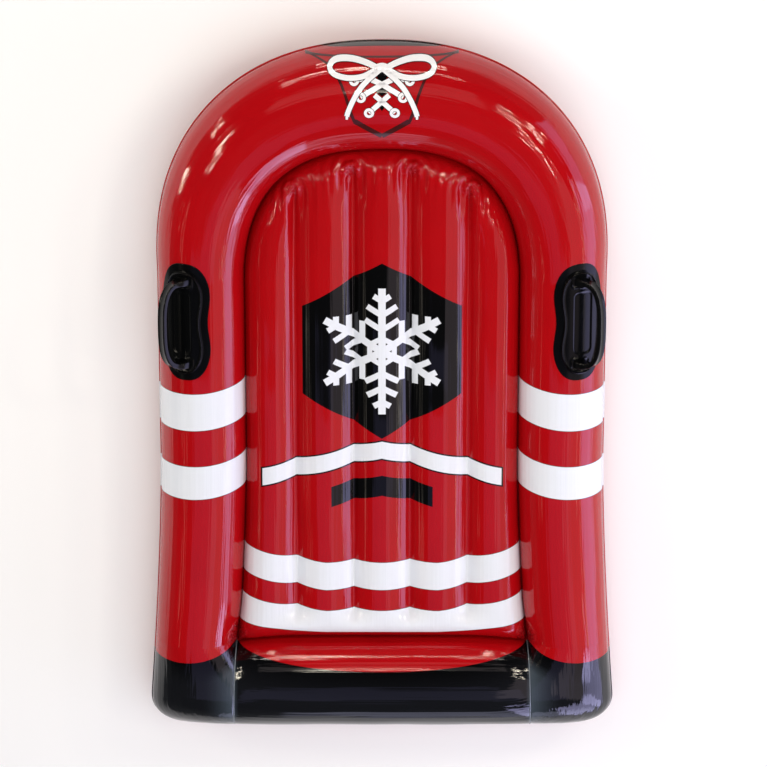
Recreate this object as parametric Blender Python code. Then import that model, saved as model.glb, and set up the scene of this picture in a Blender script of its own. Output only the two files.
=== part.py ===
import math

import bmesh
import bpy
from mathutils import Matrix, Vector

# An inflatable snow sled, lying flat. +Y points at the round nose, +Z is up, and the origin is
# the middle of the sled's box, on the surface that it lies on. All sizes are in metres.
# The ring is a U-shaped tube (two side tubes and a fat nose arch) closed at the rear by a
# bolster. Each tube is an upper and a lower skin that meet at the equator, the weld line round
# its widest part. The floor is an upper and a lower sheet that four webs hold apart.

# Fits and wall thicknesses
gap = 0.0003
skin_wall = 0.0012
sheet_wall = 0.0010
web_wall = 0.0010

# Ring: side tubes
tube_radius = 0.0757
tube_centre_x = 0.3170
flare_start_y = -0.120
flare_end_y = -0.585
flare_width = 0.025

# Ring: nose arch, a superellipse in plan whose tube grows towards the tip
arch_start_y = 0.2200
arch_depth = 0.3200
arch_power = 2.35
nose_radius = 0.0950
nose_swell_power = 1.1

# Ring: rear bolster and the squared ends of the side tubes
bolster_y = -0.5490
bolster_radius = 0.0860
bolster_pinch = 0.84
pinch_power = 6.0
pinch_back = 0.014
corner_spread = 0.005
weld_bow = 0.006
corner_length = 0.060
corner_width = 0.085
corner_power = 2.3

# The radius is cut short below by the surface that the sled lies on
footprint_sink = 0.0030

# Floor
floor_seams_x = (0.050, 0.152)
floor_crest = 0.042
floor_valley = 0.020
floor_front_round = 0.050
floor_rear_round = 0.030
seam_fade_from = 0.012
seam_fade_to = 0.050
web_end_gap = 0.006

# Handles
handle_y = 0.1480
handle_turn = math.radians(21.0)
patch_length = 0.2115
patch_width = 0.1015
patch_waist = 0.0095
waist_spread = 0.042
patch_power = 2.6
base_inset = 0.0122
base_edge = 0.0022
bead_height = 0.0068
dish_height = 0.0026
bead_insets = (0.0012, 0.0026, 0.0040, 0.0058)
grip_reach = 0.0440
grip_half_length = 0.0750
grip_lean = math.radians(51.5)
grip_power = 3.0
grip_width = 0.0175
grip_thickness = 0.0095
grip_foot_flare = 0.35
grip_foot_gap = 0.0013

# Valves
valve_x = 0.160
floor_valve_y = -0.330
stem_radius = 0.0062
stem_bore = 0.0044
stem_above = 0.0040
stem_below = 0.0140
cap_radius = 0.0070
cap_thickness = 0.0016
spigot_radius = 0.0040
spigot_depth = 0.0025
hinge_reach = 0.0090
lug_half_width = 0.0022
lug_height = 0.0018
tongue_half_width = 0.0020
tongue_height = 0.0011
flap_radius = 0.0054
flap_thickness = 0.0008
flange_radius = 0.0096
flange_bore = 0.0066
flange_thickness = 0.0012
valve_chamfer = 0.0006
valve_hole = 0.0072

# Facets
around_tube = 10
along_arch = 14
bolster_shares = (0.0, 0.30, 0.45, 0.60, 0.72, 0.82, 0.90, 0.96, 1.0)
steps_per_channel = 6
round_steps = 20

red_vinyl = (0.55, 0.012, 0.022)
black_vinyl = (0.012, 0.012, 0.014)
clear_vinyl = (0.70, 0.72, 0.74)

nose_y = arch_start_y + arch_depth
rear_equator = bolster_radius - footprint_sink
nose_equator = nose_radius - footprint_sink
inner_corner_y = bolster_y + bolster_radius

# A skin's inner edge leans past its outer edge by a share of the wall, so meeting edges stand off
weld_lift = gap / 2 + 0.17 * skin_wall
sheet_lift = gap / 2 + 0.60 * sheet_wall


def clear_scene():
    for item in list(bpy.data.objects):
        bpy.data.objects.remove(item, do_unlink=True)


def vinyl(name, colour, roughness):
    material = bpy.data.materials.new(name)
    material.use_nodes = True
    shader = material.node_tree.nodes["Principled BSDF"]
    shader.inputs["Base Color"].default_value = (*colour, 1.0)
    shader.inputs["Roughness"].default_value = roughness
    shader.inputs["Metallic"].default_value = 0.0
    return material


def add_object(name, mesh, material):
    item = bpy.data.objects.new(name, mesh)
    item.data.materials.append(material)
    bpy.context.scene.collection.objects.link(item)
    return item


def smooth(mesh, angle=35.0):
    mesh.shade_smooth()
    mesh.set_sharp_from_angle(angle=math.radians(angle))


def grid_mesh(name, rows):
    # A surface through rows of points, left open at its edges
    mesh = bmesh.new()
    lines = [[mesh.verts.new(point) for point in row] for row in rows]
    for near, far in zip(lines, lines[1:]):
        for i in range(len(near) - 1):
            mesh.faces.new((near[i], far[i], far[i + 1], near[i + 1]))
    result = bpy.data.meshes.new(name)
    mesh.to_mesh(result)
    mesh.free()
    smooth(result)
    return result


def closed_mesh(name, rings, origin=Vector()):
    # A solid through closed rings of points, with its first and last ring filled
    mesh = bmesh.new()
    loops = [[mesh.verts.new(Vector(point) - origin) for point in ring] for ring in rings]
    count = len(loops[0])
    for near, far in zip(loops, loops[1:]):
        for i in range(count):
            j = (i + 1) % count
            mesh.faces.new((near[i], near[j], far[j], far[i]))
    mesh.faces.new(loops[0])
    mesh.faces.new(loops[-1])
    bmesh.ops.recalc_face_normals(mesh, faces=mesh.faces)
    result = bpy.data.meshes.new(name)
    mesh.to_mesh(result)
    mesh.free()
    smooth(result)
    return result


def turned_mesh(name, profile):
    # A solid of revolution about Z from an outline of (radius, height) points
    mesh = bmesh.new()
    verts = [mesh.verts.new((radius, 0.0, height)) for radius, height in profile]
    hollow = min(radius for radius, height in profile) > 0.0
    pairs = list(zip(verts, verts[1:]))
    if hollow:
        pairs.append((verts[-1], verts[0]))
    edges = [mesh.edges.new(pair) for pair in pairs]
    bmesh.ops.spin(mesh, geom=verts + edges, cent=(0.0, 0.0, 0.0), axis=(0.0, 0.0, 1.0),
                   angle=math.tau, steps=round_steps, use_merge=False)
    bmesh.ops.remove_doubles(mesh, verts=mesh.verts, dist=1e-6)
    bmesh.ops.recalc_face_normals(mesh, faces=mesh.faces)
    result = bpy.data.meshes.new(name)
    mesh.to_mesh(result)
    mesh.free()
    smooth(result)
    return result


def block_mesh(name, low, high):
    mesh = bmesh.new()
    size = Vector(high) - Vector(low)
    middle = (Vector(high) + Vector(low)) / 2
    place = Matrix.Translation(middle) @ Matrix.Diagonal((*size, 1.0))
    bmesh.ops.create_cube(mesh, size=1.0, matrix=place)
    result = bpy.data.meshes.new(name)
    mesh.to_mesh(result)
    mesh.free()
    return result


def mirror_in_x(item):
    mirror = item.modifiers.new("other_side", "MIRROR")
    mirror.use_axis = (True, False, False)
    mirror.use_mirror_merge = True
    mirror.merge_threshold = 0.00005


def thicken(item, wall):
    # The surface is the outside of the wall, so the wall grows inwards
    shell = item.modifiers.new("wall", "SOLIDIFY")
    shell.thickness = wall
    shell.offset = -1.0
    shell.use_even_offset = True


def combine(item, other, operation):
    cut = item.modifiers.new(operation.lower(), "BOOLEAN")
    cut.operation = operation
    cut.solver = "EXACT"
    cut.object = other
    other.hide_render = True
    other.display_type = "WIRE"


def spaced(start, end, steps):
    return [start + (end - start) * i / steps for i in range(steps + 1)]


def ease(value, start, end):
    share = min(1.0, max(0.0, (value - start) / (end - start)))
    return share * share * (3.0 - 2.0 * share)


# Ring geometry. A section is its centre, its outward direction in plan and its radius. Angles
# round a tube run from 0 at the outer weld line over the top, or under the bottom, to pi at the
# inner weld line.

def equator_height(y):
    return rear_equator + (nose_equator - rear_equator) * (y - bolster_y) / (nose_y - bolster_y)


def flare(y):
    run = max(0.0, (flare_start_y - y) / (flare_start_y - flare_end_y))
    return flare_width * run ** 1.5


def side_section(y):
    return Vector((tube_centre_x + flare(y), y, equator_height(y))), Vector((1.0, 0.0, 0.0)), tube_radius


def arch_section(turn):
    share_x = math.cos(turn) ** (2.0 / arch_power) if turn < math.pi / 2 else 0.0
    share_y = math.sin(turn) ** (2.0 / arch_power)
    y = arch_start_y + arch_depth * share_y
    centre = Vector((tube_centre_x * share_x, y, equator_height(y)))
    outward = Vector((share_x ** (arch_power - 1.0) / tube_centre_x,
                      share_y ** (arch_power - 1.0) / arch_depth, 0.0)).normalized()
    radius = tube_radius + (nose_radius - tube_radius) * share_y ** nose_swell_power
    return centre, outward, radius


def section_at(y):
    if y <= arch_start_y:
        return side_section(y)
    share_y = (y - arch_start_y) / arch_depth
    return arch_section(math.asin(share_y ** (arch_power / 2.0)))


def tube_point(section, angle, side=1.0, lift=0.0):
    centre, outward, radius = section
    reach = radius + lift
    point = centre + outward * (reach * math.cos(angle))
    point.z = max(0.0, centre.z + side * reach * math.sin(angle))
    return point


def skin_angles(side):
    # The lower skins have a facet edge on each side of the flat that they rest on
    if side > 0.0:
        return spaced(0.0, math.pi, around_tube)
    flat_edge = math.asin(rear_equator / bolster_radius)
    down = spaced(0.0, flat_edge, (around_tube - 2) // 2)
    return down + [math.pi / 2] + [math.pi - angle for angle in reversed(down)]


def outer_edge_x(y):
    straight = tube_centre_x + flare(y) + tube_radius
    corner_y = bolster_y - bolster_radius + corner_length
    run = min(1.0, max(0.0, (corner_y - y) / corner_length))
    return straight - corner_width * (1.0 - (1.0 - run ** corner_power) ** (1.0 / corner_power))


def weld_edge_x(turn):
    inner_x = tube_centre_x + flare(inner_corner_y) - tube_radius
    return inner_x + corner_spread + weld_bow * math.sqrt(0.5 - 0.5 * math.cos(turn))


def pinched_y(turn, share):
    # The ends of the bolster are drawn back at their front edge, where the ring's corner pinches
    pull = pinch_back * share ** pinch_power * (0.5 + 0.5 * math.cos(turn))
    return bolster_y + bolster_radius * math.cos(turn) - pull


def tube_end_row(turn, side):
    # One cross-section of a side tube beside the bolster. Its inner edge climbs the weld line
    # that it shares with the bolster, and its height dies away at the rear edge.
    outer_x = outer_edge_x(bolster_y + bolster_radius * math.cos(turn))
    share = max(0.0, math.sin(turn))
    height = tube_radius * (share if turn > math.pi / 2 else 1.0)
    weld_share = bolster_pinch * bolster_radius / tube_radius
    if turn < math.pi / 2:
        weld_share *= share
    last_angle = math.pi - math.asin(weld_share)
    half = (outer_x - weld_edge_x(turn) - gap / 2) / (1.0 - math.cos(last_angle))
    row = []
    for angle in spaced(0.0, last_angle, around_tube):
        x = outer_x - half * (1.0 - math.cos(angle))
        y = pinched_y(turn, angle / last_angle)
        z = equator_height(y) + side * (height * math.sin(angle) + weld_lift)
        row.append(Vector((x, y, z)))
    return row


def side_rows_y():
    return [inner_corner_y, -0.380, -0.290, -0.205, flare_start_y, 0.050, arch_start_y]


def ring_sections():
    sections = [side_section(y) for y in side_rows_y()[1:]]
    sections += [arch_section(turn) for turn in spaced(0.0, math.pi / 2, along_arch)[1:]]
    return sections


def tube_rows(side):
    rows = [tube_end_row(turn, side) for turn in reversed(skin_angles(side))]
    for section in ring_sections():
        row = [tube_point(section, angle, side) for angle in skin_angles(side)]
        row[0].z = section[0].z + side * weld_lift
        row[-1].z = section[0].z + side * weld_lift
        rows.append(row)
    return rows


def add_skin(name, rows, side, material):
    if side < 0.0:
        rows = [list(reversed(row)) for row in rows]
    item = add_object(name, grid_mesh(name, rows), material)
    mirror_in_x(item)
    thicken(item, skin_wall)
    return item


def bolster_height(share_x):
    return bolster_radius * (1.0 - (1.0 - bolster_pinch) * share_x ** pinch_power)


def bolster_rows(side):
    rows = []
    for share_x in bolster_shares:
        row = []
        for turn in skin_angles(side):
            y = pinched_y(turn, share_x)
            x = share_x * (weld_edge_x(turn) - gap / 2)
            z = equator_height(y) + side * (bolster_height(share_x) * math.sin(turn) + weld_lift)
            row.append(Vector((x, y, max(0.0, z))))
        rows.append(row)
    return rows


# Floor geometry. The sheets' edge follows the facets of the ring's inner weld line.

def inner_line():
    corner = Vector((weld_edge_x(0.0), pinched_y(0.0, 1.0), 0.0))
    return [corner] + [tube_point(section, math.pi) for section in ring_sections()]


def read_line(line, value, along, across):
    # Where the line has this value along one axis, its value along the other
    for near, far in zip(line, line[1:]):
        low, high = sorted((near[along], far[along]))
        if low <= value <= high and high > low:
            share = (value - near[along]) / (far[along] - near[along])
            return near[across] + (far[across] - near[across]) * share
    return line[-1][across]


def channel_columns():
    # Half of the floor's columns, as (place across, height over the equator)
    inner_seam, outer_seam = floor_seams_x
    inner_edge = tube_centre_x - tube_radius - gap
    rise = floor_crest - floor_valley
    columns = []
    for share in spaced(0.0, 1.0, steps_per_channel // 2):
        columns.append((inner_seam * share, floor_valley + rise * (1.0 - share * share)))
    for share in spaced(-1.0, 1.0, steps_per_channel)[1:]:
        middle = (inner_seam + outer_seam) / 2
        x = middle + share * (outer_seam - inner_seam) / 2
        columns.append((x, floor_valley + rise * (1.0 - share * share)))
    seam_angle = math.pi - math.asin(floor_valley / floor_crest)
    half = (inner_edge - outer_seam) / (1.0 - math.cos(seam_angle))
    for angle in spaced(seam_angle, 0.0, steps_per_channel)[1:]:
        columns.append((inner_edge - half * (1.0 - math.cos(angle)), floor_crest * math.sin(angle)))
    return columns


def floor_rise(x, channel_height, rear_distance, front_distance):
    # Seams stop short of both ends, where the sheet is one smooth curve down to its edge
    inner_seam, outer_seam = floor_seams_x
    inner_edge = tube_centre_x - tube_radius - gap
    seam_angle = math.pi - math.asin(floor_valley / floor_crest)
    half = (inner_edge - outer_seam) / (1.0 - math.cos(seam_angle))
    plain = floor_crest
    if x > inner_edge - half:
        plain = channel_height
    nearest = min(rear_distance, front_distance)
    fade = ease(nearest, seam_fade_from, seam_fade_to)
    height = plain + (channel_height - plain) * fade
    for distance, length in ((rear_distance, floor_rear_round), (front_distance, floor_front_round)):
        if distance < length:
            height *= math.sqrt(1.0 - (1.0 - distance / length) ** 2)
    return height


def spread_across(x, width, rest_width):
    # The outer channels widen with the ring towards the rear
    outer_seam = floor_seams_x[1]
    if x <= outer_seam:
        return x
    stretch = (width - gap - outer_seam) / (rest_width - gap - outer_seam)
    return outer_seam + (x - outer_seam) * stretch


def floor_rows(side):
    line = inner_line()
    width_line = [point for point in line if point.y <= arch_start_y + 1e-6]
    front_line = [point for point in line if point.y >= arch_start_y - 1e-6]
    rest_width = tube_centre_x - tube_radius
    rear_steps = (0.0, 0.002, 0.007, 0.016, 0.030, 0.055)
    front_steps = (0.055, 0.036, 0.022, 0.012, 0.004, 0.0)
    rows = []
    for x, channel_height in channel_columns():
        front_y = read_line(front_line, x, 0, 1) - gap
        rear_across = spread_across(x, weld_edge_x(0.0), rest_width)
        rear_y = pinched_y(0.0, rear_across / weld_edge_x(0.0)) + 3 * gap
        ends = [rear_y + step for step in rear_steps]
        fronts = [front_y - step for step in front_steps]
        row = []
        for y in ends + side_rows_y()[1:-1] + fronts:
            width = read_line(width_line, y, 1, 0) if y < arch_start_y else rest_width
            across = spread_across(x, width, rest_width)
            height = floor_rise(x, channel_height, y - rear_y, front_y - y)
            z = equator_height(y) + side * (height + sheet_lift)
            row.append(Vector((across, y, z)))
        rows.append(row)
    return rows


def add_floor_sheet(name, side, material):
    rows = floor_rows(side)
    if side < 0.0:
        rows = [list(reversed(row)) for row in rows]
    item = add_object(name, grid_mesh(name, rows), material)
    mirror_in_x(item)
    thicken(item, sheet_wall)
    return item


def add_floor_web(name, x, material):
    # The inside of a seam's V lies deeper than the sheet's wall, so the web stops below it
    line = [point for point in inner_line() if point.y >= arch_start_y - 1e-6]
    rear_y = inner_corner_y + seam_fade_to + web_end_gap
    front_y = read_line(line, abs(x), 0, 1) - seam_fade_to - web_end_gap
    reach = floor_valley - 1.8 * sheet_wall - 2 * gap
    rings = []
    for y in spaced(rear_y, front_y, 8):
        middle = equator_height(y)
        low, high = middle - reach, middle + reach
        left, right = x - web_wall / 2, x + web_wall / 2
        rings.append([(left, y, low), (right, y, low), (right, y, high), (left, y, high)])
    return add_object(name, closed_mesh(name, rings), material)


# Handles. A place on a handle is (along the tube, round the tube towards the middle, lift).

def handle_point(along, across, lift, hand):
    section = section_at(handle_y + along)
    angle = math.pi / 2 - handle_turn + across / tube_radius
    point = tube_point(section, angle, 1.0, lift)
    point.x *= hand
    return point


def bean(angle, inset=0.0):
    # A long rounded outline with a waist on the side towards the rider
    half_length = patch_length / 2 - inset
    half_width = patch_width / 2 - inset
    cosine, sine = math.cos(angle), math.sin(angle)
    along = math.copysign(abs(cosine) ** (2.0 / patch_power), cosine) * half_length
    across = math.copysign(abs(sine) ** (2.0 / patch_power), sine) * half_width
    if across > 0.0:
        across -= patch_waist * math.exp(-(along / waist_spread) ** 2) * across / half_width
    return along, across


def bean_rings(levels, hand, steps=28):
    # Rings from (inset of the outline, scale, lift), laid on the tube
    rings = []
    for inset, scale, lift in levels:
        ring = []
        for i in range(steps):
            along, across = bean(math.tau * i / steps, inset)
            ring.append(handle_point(along * scale, across * scale, lift, hand))
        rings.append(ring)
    return rings


def filled_levels(inset, lift):
    return [(inset, scale, lift) for scale in (0.12, 0.45, 0.75, 1.0)]


def add_patch(name, hand, material):
    low, high = 2 * gap, 2 * gap + skin_wall
    levels = filled_levels(0.0, low) + list(reversed(filled_levels(0.0, high)))
    return add_object(name, closed_mesh(name, bean_rings(levels, hand)), material)


def base_lifts():
    bottom = 2 * gap + skin_wall + 2 * gap
    return {"bottom": bottom, "edge": bottom + base_edge,
            "bead": bottom + bead_height, "dish": bottom + dish_height}


def add_base(name, hand, material):
    # A moulded plate with a raised bead round its edge and a dished middle for the fingers
    lift = base_lifts()
    outer, top, inner, dish = [base_inset + step for step in bead_insets]
    levels = filled_levels(base_inset, lift["bottom"])
    levels += [(base_inset, 1.0, lift["edge"]), (outer, 1.0, lift["bead"] - 0.0008),
               (top, 1.0, lift["bead"]), (inner, 1.0, lift["bead"] - 0.0010)]
    levels += reversed(filled_levels(dish, lift["dish"]))
    return add_object(name, closed_mesh(name, bean_rings(levels, hand)), material)


def grip_outline():
    # Rounded rectangle, as shares of half the thickness and half the width
    return [(-1.0, -0.55), (-0.55, -1.0), (0.55, -1.0), (1.0, -0.55),
            (1.0, 0.55), (0.55, 1.0), (-0.55, 1.0), (-1.0, 0.55)]


def add_grip(name, hand, material):
    foot_lift = base_lifts()["dish"] + grip_foot_gap
    root = handle_point(0.0, 0.0, foot_lift, hand)
    lean = Vector((hand * math.sin(grip_lean), 0.0, math.cos(grip_lean)))
    along = Vector((0.0, 1.0, 0.0))
    wide = Vector((-hand * math.cos(grip_lean), 0.0, math.sin(grip_lean)))
    steps = 18
    rings = []
    for i in range(steps + 1):
        angle = math.pi * i / steps
        cosine, sine = math.cos(angle), max(0.0, math.sin(angle))
        u = math.copysign(abs(cosine) ** (2.0 / grip_power), cosine)
        h = sine ** (2.0 / grip_power)
        flare_out = 1.0 + grip_foot_flare * (1.0 - ease(h, 0.0, 0.45))
        half_thickness = grip_thickness / 2 * flare_out
        half_width = grip_width / 2 * flare_out
        slope_u = -abs(u) ** (grip_power - 1.0) / grip_half_length
        slope_h = h ** (grip_power - 1.0) / grip_reach
        normal = (along * (-slope_u * math.copysign(1.0, u)) + lean * slope_h).normalized()
        centre = root + along * (u * grip_half_length) + lean * (h * grip_reach)
        ring = []
        for thick_share, wide_share in grip_outline():
            if i in (0, steps):
                shift = half_thickness * thick_share * math.copysign(1.0, u)
                spot = (u * grip_half_length + shift, half_width * wide_share)
                ring.append(handle_point(*spot, foot_lift, hand))
            else:
                ring.append(centre + normal * (half_thickness * thick_share)
                            + wide * (half_width * wide_share))
        rings.append(ring)
    return add_object(name, closed_mesh(name, rings), material)


def add_handle(side_name, hand, material):
    add_patch("handle_" + side_name + "_patch", hand, material)
    add_base("handle_" + side_name + "_base", hand, material)
    add_grip("handle_" + side_name + "_grip", hand, material)


# Valves. Each is made along its own Z, with the skin's outer face at height 0, and its hinge on
# the -X side of the stem.

def add_valve_part(name, mesh, frame, origin, material):
    # The piece's own origin goes to the joint that it turns or slides on
    mesh.transform(Matrix.Translation(-Vector(origin)))
    item = add_object(name, mesh, material)
    item.matrix_world = frame @ Matrix.Translation(Vector(origin))
    return item


def add_valve(prefix, frame, skin, material):
    flange_profile = [(flange_bore, gap), (flange_radius, gap),
                      (flange_radius, gap + flange_thickness * 0.6),
                      (flange_radius - valve_chamfer, gap + flange_thickness),
                      (flange_bore, gap + flange_thickness)]
    add_valve_part(prefix + "_flange", turned_mesh(prefix + "_flange", flange_profile),
                   frame, (0.0, 0.0, 0.0), material)

    stem_profile = [(stem_bore, -stem_below), (stem_radius, -stem_below),
                    (stem_radius, stem_above), (stem_bore, stem_above)]
    stem = add_valve_part(prefix + "_stem", turned_mesh(prefix + "_stem", stem_profile),
                          frame, (0.0, 0.0, 0.0), material)
    lug_low = (-hinge_reach + gap, -lug_half_width, stem_above - lug_height)
    lug_high = (-stem_radius + 0.0008, lug_half_width, stem_above - gap)
    lug = add_valve_part(prefix + "_lug_guide", block_mesh(prefix + "_lug_guide", lug_low, lug_high),
                         frame, (0.0, 0.0, 0.0), material)
    combine(stem, lug, "UNION")

    plug_base = stem_above + gap
    spigot_end = plug_base - spigot_depth
    cap_top = plug_base + cap_thickness
    plug_profile = [(0.0, spigot_end), (spigot_radius - valve_chamfer, spigot_end),
                    (spigot_radius, spigot_end + valve_chamfer), (spigot_radius, plug_base),
                    (cap_radius, plug_base), (cap_radius, cap_top - valve_chamfer),
                    (cap_radius - valve_chamfer, cap_top), (0.0, cap_top)]
    hinge = (-hinge_reach, 0.0, plug_base)
    plug = add_valve_part(prefix + "_plug", turned_mesh(prefix + "_plug", plug_profile),
                          frame, hinge, material)
    tongue_low = (-hinge_reach, -tongue_half_width, plug_base)
    tongue_high = (-cap_radius + 0.0010, tongue_half_width, plug_base + tongue_height)
    tongue = add_valve_part(prefix + "_tongue_guide",
                            block_mesh(prefix + "_tongue_guide", tongue_low, tongue_high),
                            frame, hinge, material)
    combine(plug, tongue, "UNION")

    flap_top = -stem_below - gap
    flap_profile = [(0.0, flap_top - flap_thickness), (flap_radius, flap_top - flap_thickness),
                    (flap_radius, flap_top), (0.0, flap_top)]
    add_valve_part(prefix + "_flap", turned_mesh(prefix + "_flap", flap_profile),
                   frame, (-flap_radius, 0.0, flap_top), material)

    drill_profile = [(0.0, -0.004), (valve_hole, -0.004), (valve_hole, 0.003), (0.0, 0.003)]
    drill = add_valve_part(prefix + "_hole_guide", turned_mesh(prefix + "_hole_guide", drill_profile),
                           frame, (0.0, 0.0, 0.0), material)
    combine(skin, drill, "DIFFERENCE")


def bolster_valve_frame():
    # On the middle of the second facet below the equator, on the rear face
    first, second = skin_angles(-1.0)[1:3]
    corners = []
    for turn in (math.pi - first, math.pi - second):
        y = bolster_y + bolster_radius * math.cos(turn)
        corners.append(Vector((valve_x, y, equator_height(y) - bolster_radius * math.sin(turn))))
    up_facet = (corners[0] - corners[1]).normalized()
    outward = Vector((1.0, 0.0, 0.0)).cross(up_facet).normalized()
    if outward.y > 0.0:
        outward.negate()
    return frame_from((corners[0] + corners[1]) / 2, outward)


def floor_valve_frame():
    middle = equator_height(floor_valve_y) - floor_crest - sheet_lift
    return frame_from(Vector((0.0, floor_valve_y, middle)), Vector((0.0, 0.0, -1.0)))


def frame_from(place, outward):
    across = Vector((1.0, 0.0, 0.0))
    third = outward.cross(across)
    turn = Matrix((across, third, outward)).transposed()
    return Matrix.Translation(place) @ turn.to_4x4()


def build_sled():
    clear_scene()
    red = vinyl("red_vinyl_film", red_vinyl, 0.22)
    black = vinyl("black_moulded_vinyl", black_vinyl, 0.30)
    clear = vinyl("clear_soft_vinyl", clear_vinyl, 0.25)

    add_skin("tube_top_skin", tube_rows(1.0), 1.0, red)
    add_skin("tube_bottom_skin", tube_rows(-1.0), -1.0, red)
    add_skin("bolster_top_skin", bolster_rows(1.0), -1.0, red)
    bolster_bottom = add_skin("bolster_bottom_skin", bolster_rows(-1.0), 1.0, red)
    add_floor_sheet("floor_top_sheet", 1.0, red)
    floor_bottom = add_floor_sheet("floor_bottom_sheet", -1.0, red)
    inner_seam, outer_seam = floor_seams_x
    for number, x in enumerate((-outer_seam, -inner_seam, inner_seam, outer_seam), start=1):
        add_floor_web("floor_web_" + str(number), x, red)

    add_handle("left", -1.0, black)
    add_handle("right", 1.0, black)
    add_valve("tube_valve", bolster_valve_frame(), bolster_bottom, clear)
    add_valve("floor_valve", floor_valve_frame(), floor_bottom, clear)


build_sled()
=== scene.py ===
import math

import bmesh
import bpy
import numpy as np
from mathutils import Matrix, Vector


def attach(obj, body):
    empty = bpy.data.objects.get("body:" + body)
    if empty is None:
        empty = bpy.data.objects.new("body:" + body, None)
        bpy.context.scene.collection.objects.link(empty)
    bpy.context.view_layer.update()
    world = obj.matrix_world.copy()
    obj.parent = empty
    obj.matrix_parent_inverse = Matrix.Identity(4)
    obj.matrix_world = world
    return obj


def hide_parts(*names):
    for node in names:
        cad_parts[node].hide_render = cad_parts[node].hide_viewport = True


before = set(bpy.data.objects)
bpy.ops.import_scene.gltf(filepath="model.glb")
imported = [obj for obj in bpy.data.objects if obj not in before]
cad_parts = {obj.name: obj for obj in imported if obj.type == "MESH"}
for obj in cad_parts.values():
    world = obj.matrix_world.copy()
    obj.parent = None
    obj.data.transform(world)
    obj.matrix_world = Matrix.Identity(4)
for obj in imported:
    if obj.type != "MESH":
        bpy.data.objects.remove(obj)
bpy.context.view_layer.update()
print("frame loaded with", len(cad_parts), "CAD nodes")

# Metres throughout. +Y points at the round nose, +Z up, and the sled lies on z = 0.

# The blown-up ring: two side tubes, a fat nose arch and a bolster across the rear
ring = {
    "tubeRadius": 0.0757, "centreX": 0.3170,
    "flareStart": -0.120, "flareEnd": -0.585, "flareWidth": 0.025,
    "archStart": 0.2200, "archDepth": 0.3200, "archPower": 2.35,
    "noseRadius": 0.0950, "noseSwell": 1.1,
    "bolsterY": -0.5490, "bolsterRadius": 0.0860, "bolsterPinch": 0.84, "pinchPower": 6.0,
    "pinchBack": 0.014, "cornerSpread": 0.005, "weldBow": 0.006,
    "cornerLength": 0.060, "cornerWidth": 0.085, "cornerPower": 2.3,
    "sink": 0.0030, "straightBy": -0.380,
    "roundSteps": 48, "endSteps": 46, "sideSteps": 120, "archSteps": 84,
    "weldSideSteps": 90, "weldNoseSteps": 160, "fineTurns": 2001,
}
mirror = np.array([-1.0, 1.0, 1.0])
noseY = ring["archStart"] + ring["archDepth"]
rearEquator = ring["bolsterRadius"] - ring["sink"]
noseEquator = ring["noseRadius"] - ring["sink"]
innerCornerY = ring["bolsterY"] + ring["bolsterRadius"]


def ease(value, start, end):
    share = np.clip((value - start) / (end - start), 0.0, 1.0)
    return share * share * (3.0 - 2.0 * share)


def equatorHeight(y):
    return rearEquator + (noseEquator - rearEquator) * (y - ring["bolsterY"]) / (noseY - ring["bolsterY"])


def flare(y):
    run = np.maximum(0.0, (ring["flareStart"] - y) / (ring["flareStart"] - ring["flareEnd"]))
    return ring["flareWidth"] * run ** 1.5


def outerEdgeX(y):
    # Plan outline of the squared rear corners
    cornerY = ring["bolsterY"] - ring["bolsterRadius"] + ring["cornerLength"]
    run = min(1.0, max(0.0, (cornerY - y) / ring["cornerLength"]))
    bend = 1.0 - (1.0 - run ** ring["cornerPower"]) ** (1.0 / ring["cornerPower"])
    return ring["centreX"] + flare(y) + ring["tubeRadius"] - ring["cornerWidth"] * bend


def weldEdgeX(turn):
    # Where tube and bolster are welded, from the front (turn 0) over the top to the rear (pi)
    innerX = ring["centreX"] + flare(innerCornerY) - ring["tubeRadius"]
    return innerX + ring["cornerSpread"] + ring["weldBow"] * math.sqrt(0.5 - 0.5 * math.cos(turn))


def signedPower(value, power):
    return math.copysign(abs(value) ** power, value)


def pinchedY(turn, share):
    pull = ring["pinchBack"] * share ** ring["pinchPower"] * (0.5 + 0.5 * math.cos(turn))
    return ring["bolsterY"] + ring["bolsterRadius"] * math.cos(turn) - pull


def archPoint(turn):
    shareX = max(0.0, math.cos(turn)) ** (2.0 / ring["archPower"])
    shareY = math.sin(turn) ** (2.0 / ring["archPower"])
    y = ring["archStart"] + ring["archDepth"] * shareY
    outward = Vector((shareX ** (ring["archPower"] - 1.0) / ring["centreX"],
                      shareY ** (ring["archPower"] - 1.0) / ring["archDepth"])).normalized()
    radius = ring["tubeRadius"] + (ring["noseRadius"] - ring["tubeRadius"]) * shareY ** ring["noseSwell"]
    return ring["centreX"] * shareX, y, outward, radius


def archTurns(steps):
    # Turns that give about even steps along the arch
    fine = np.linspace(0.0, math.pi / 2, ring["fineTurns"])
    spots = np.array([archPoint(turn)[:2] for turn in fine])
    run = np.concatenate([[0.0], np.cumsum(np.linalg.norm(np.diff(spots, axis=0), axis=1))])
    return np.interp(np.linspace(0.0, run[-1], steps + 1), run, fine)


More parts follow.
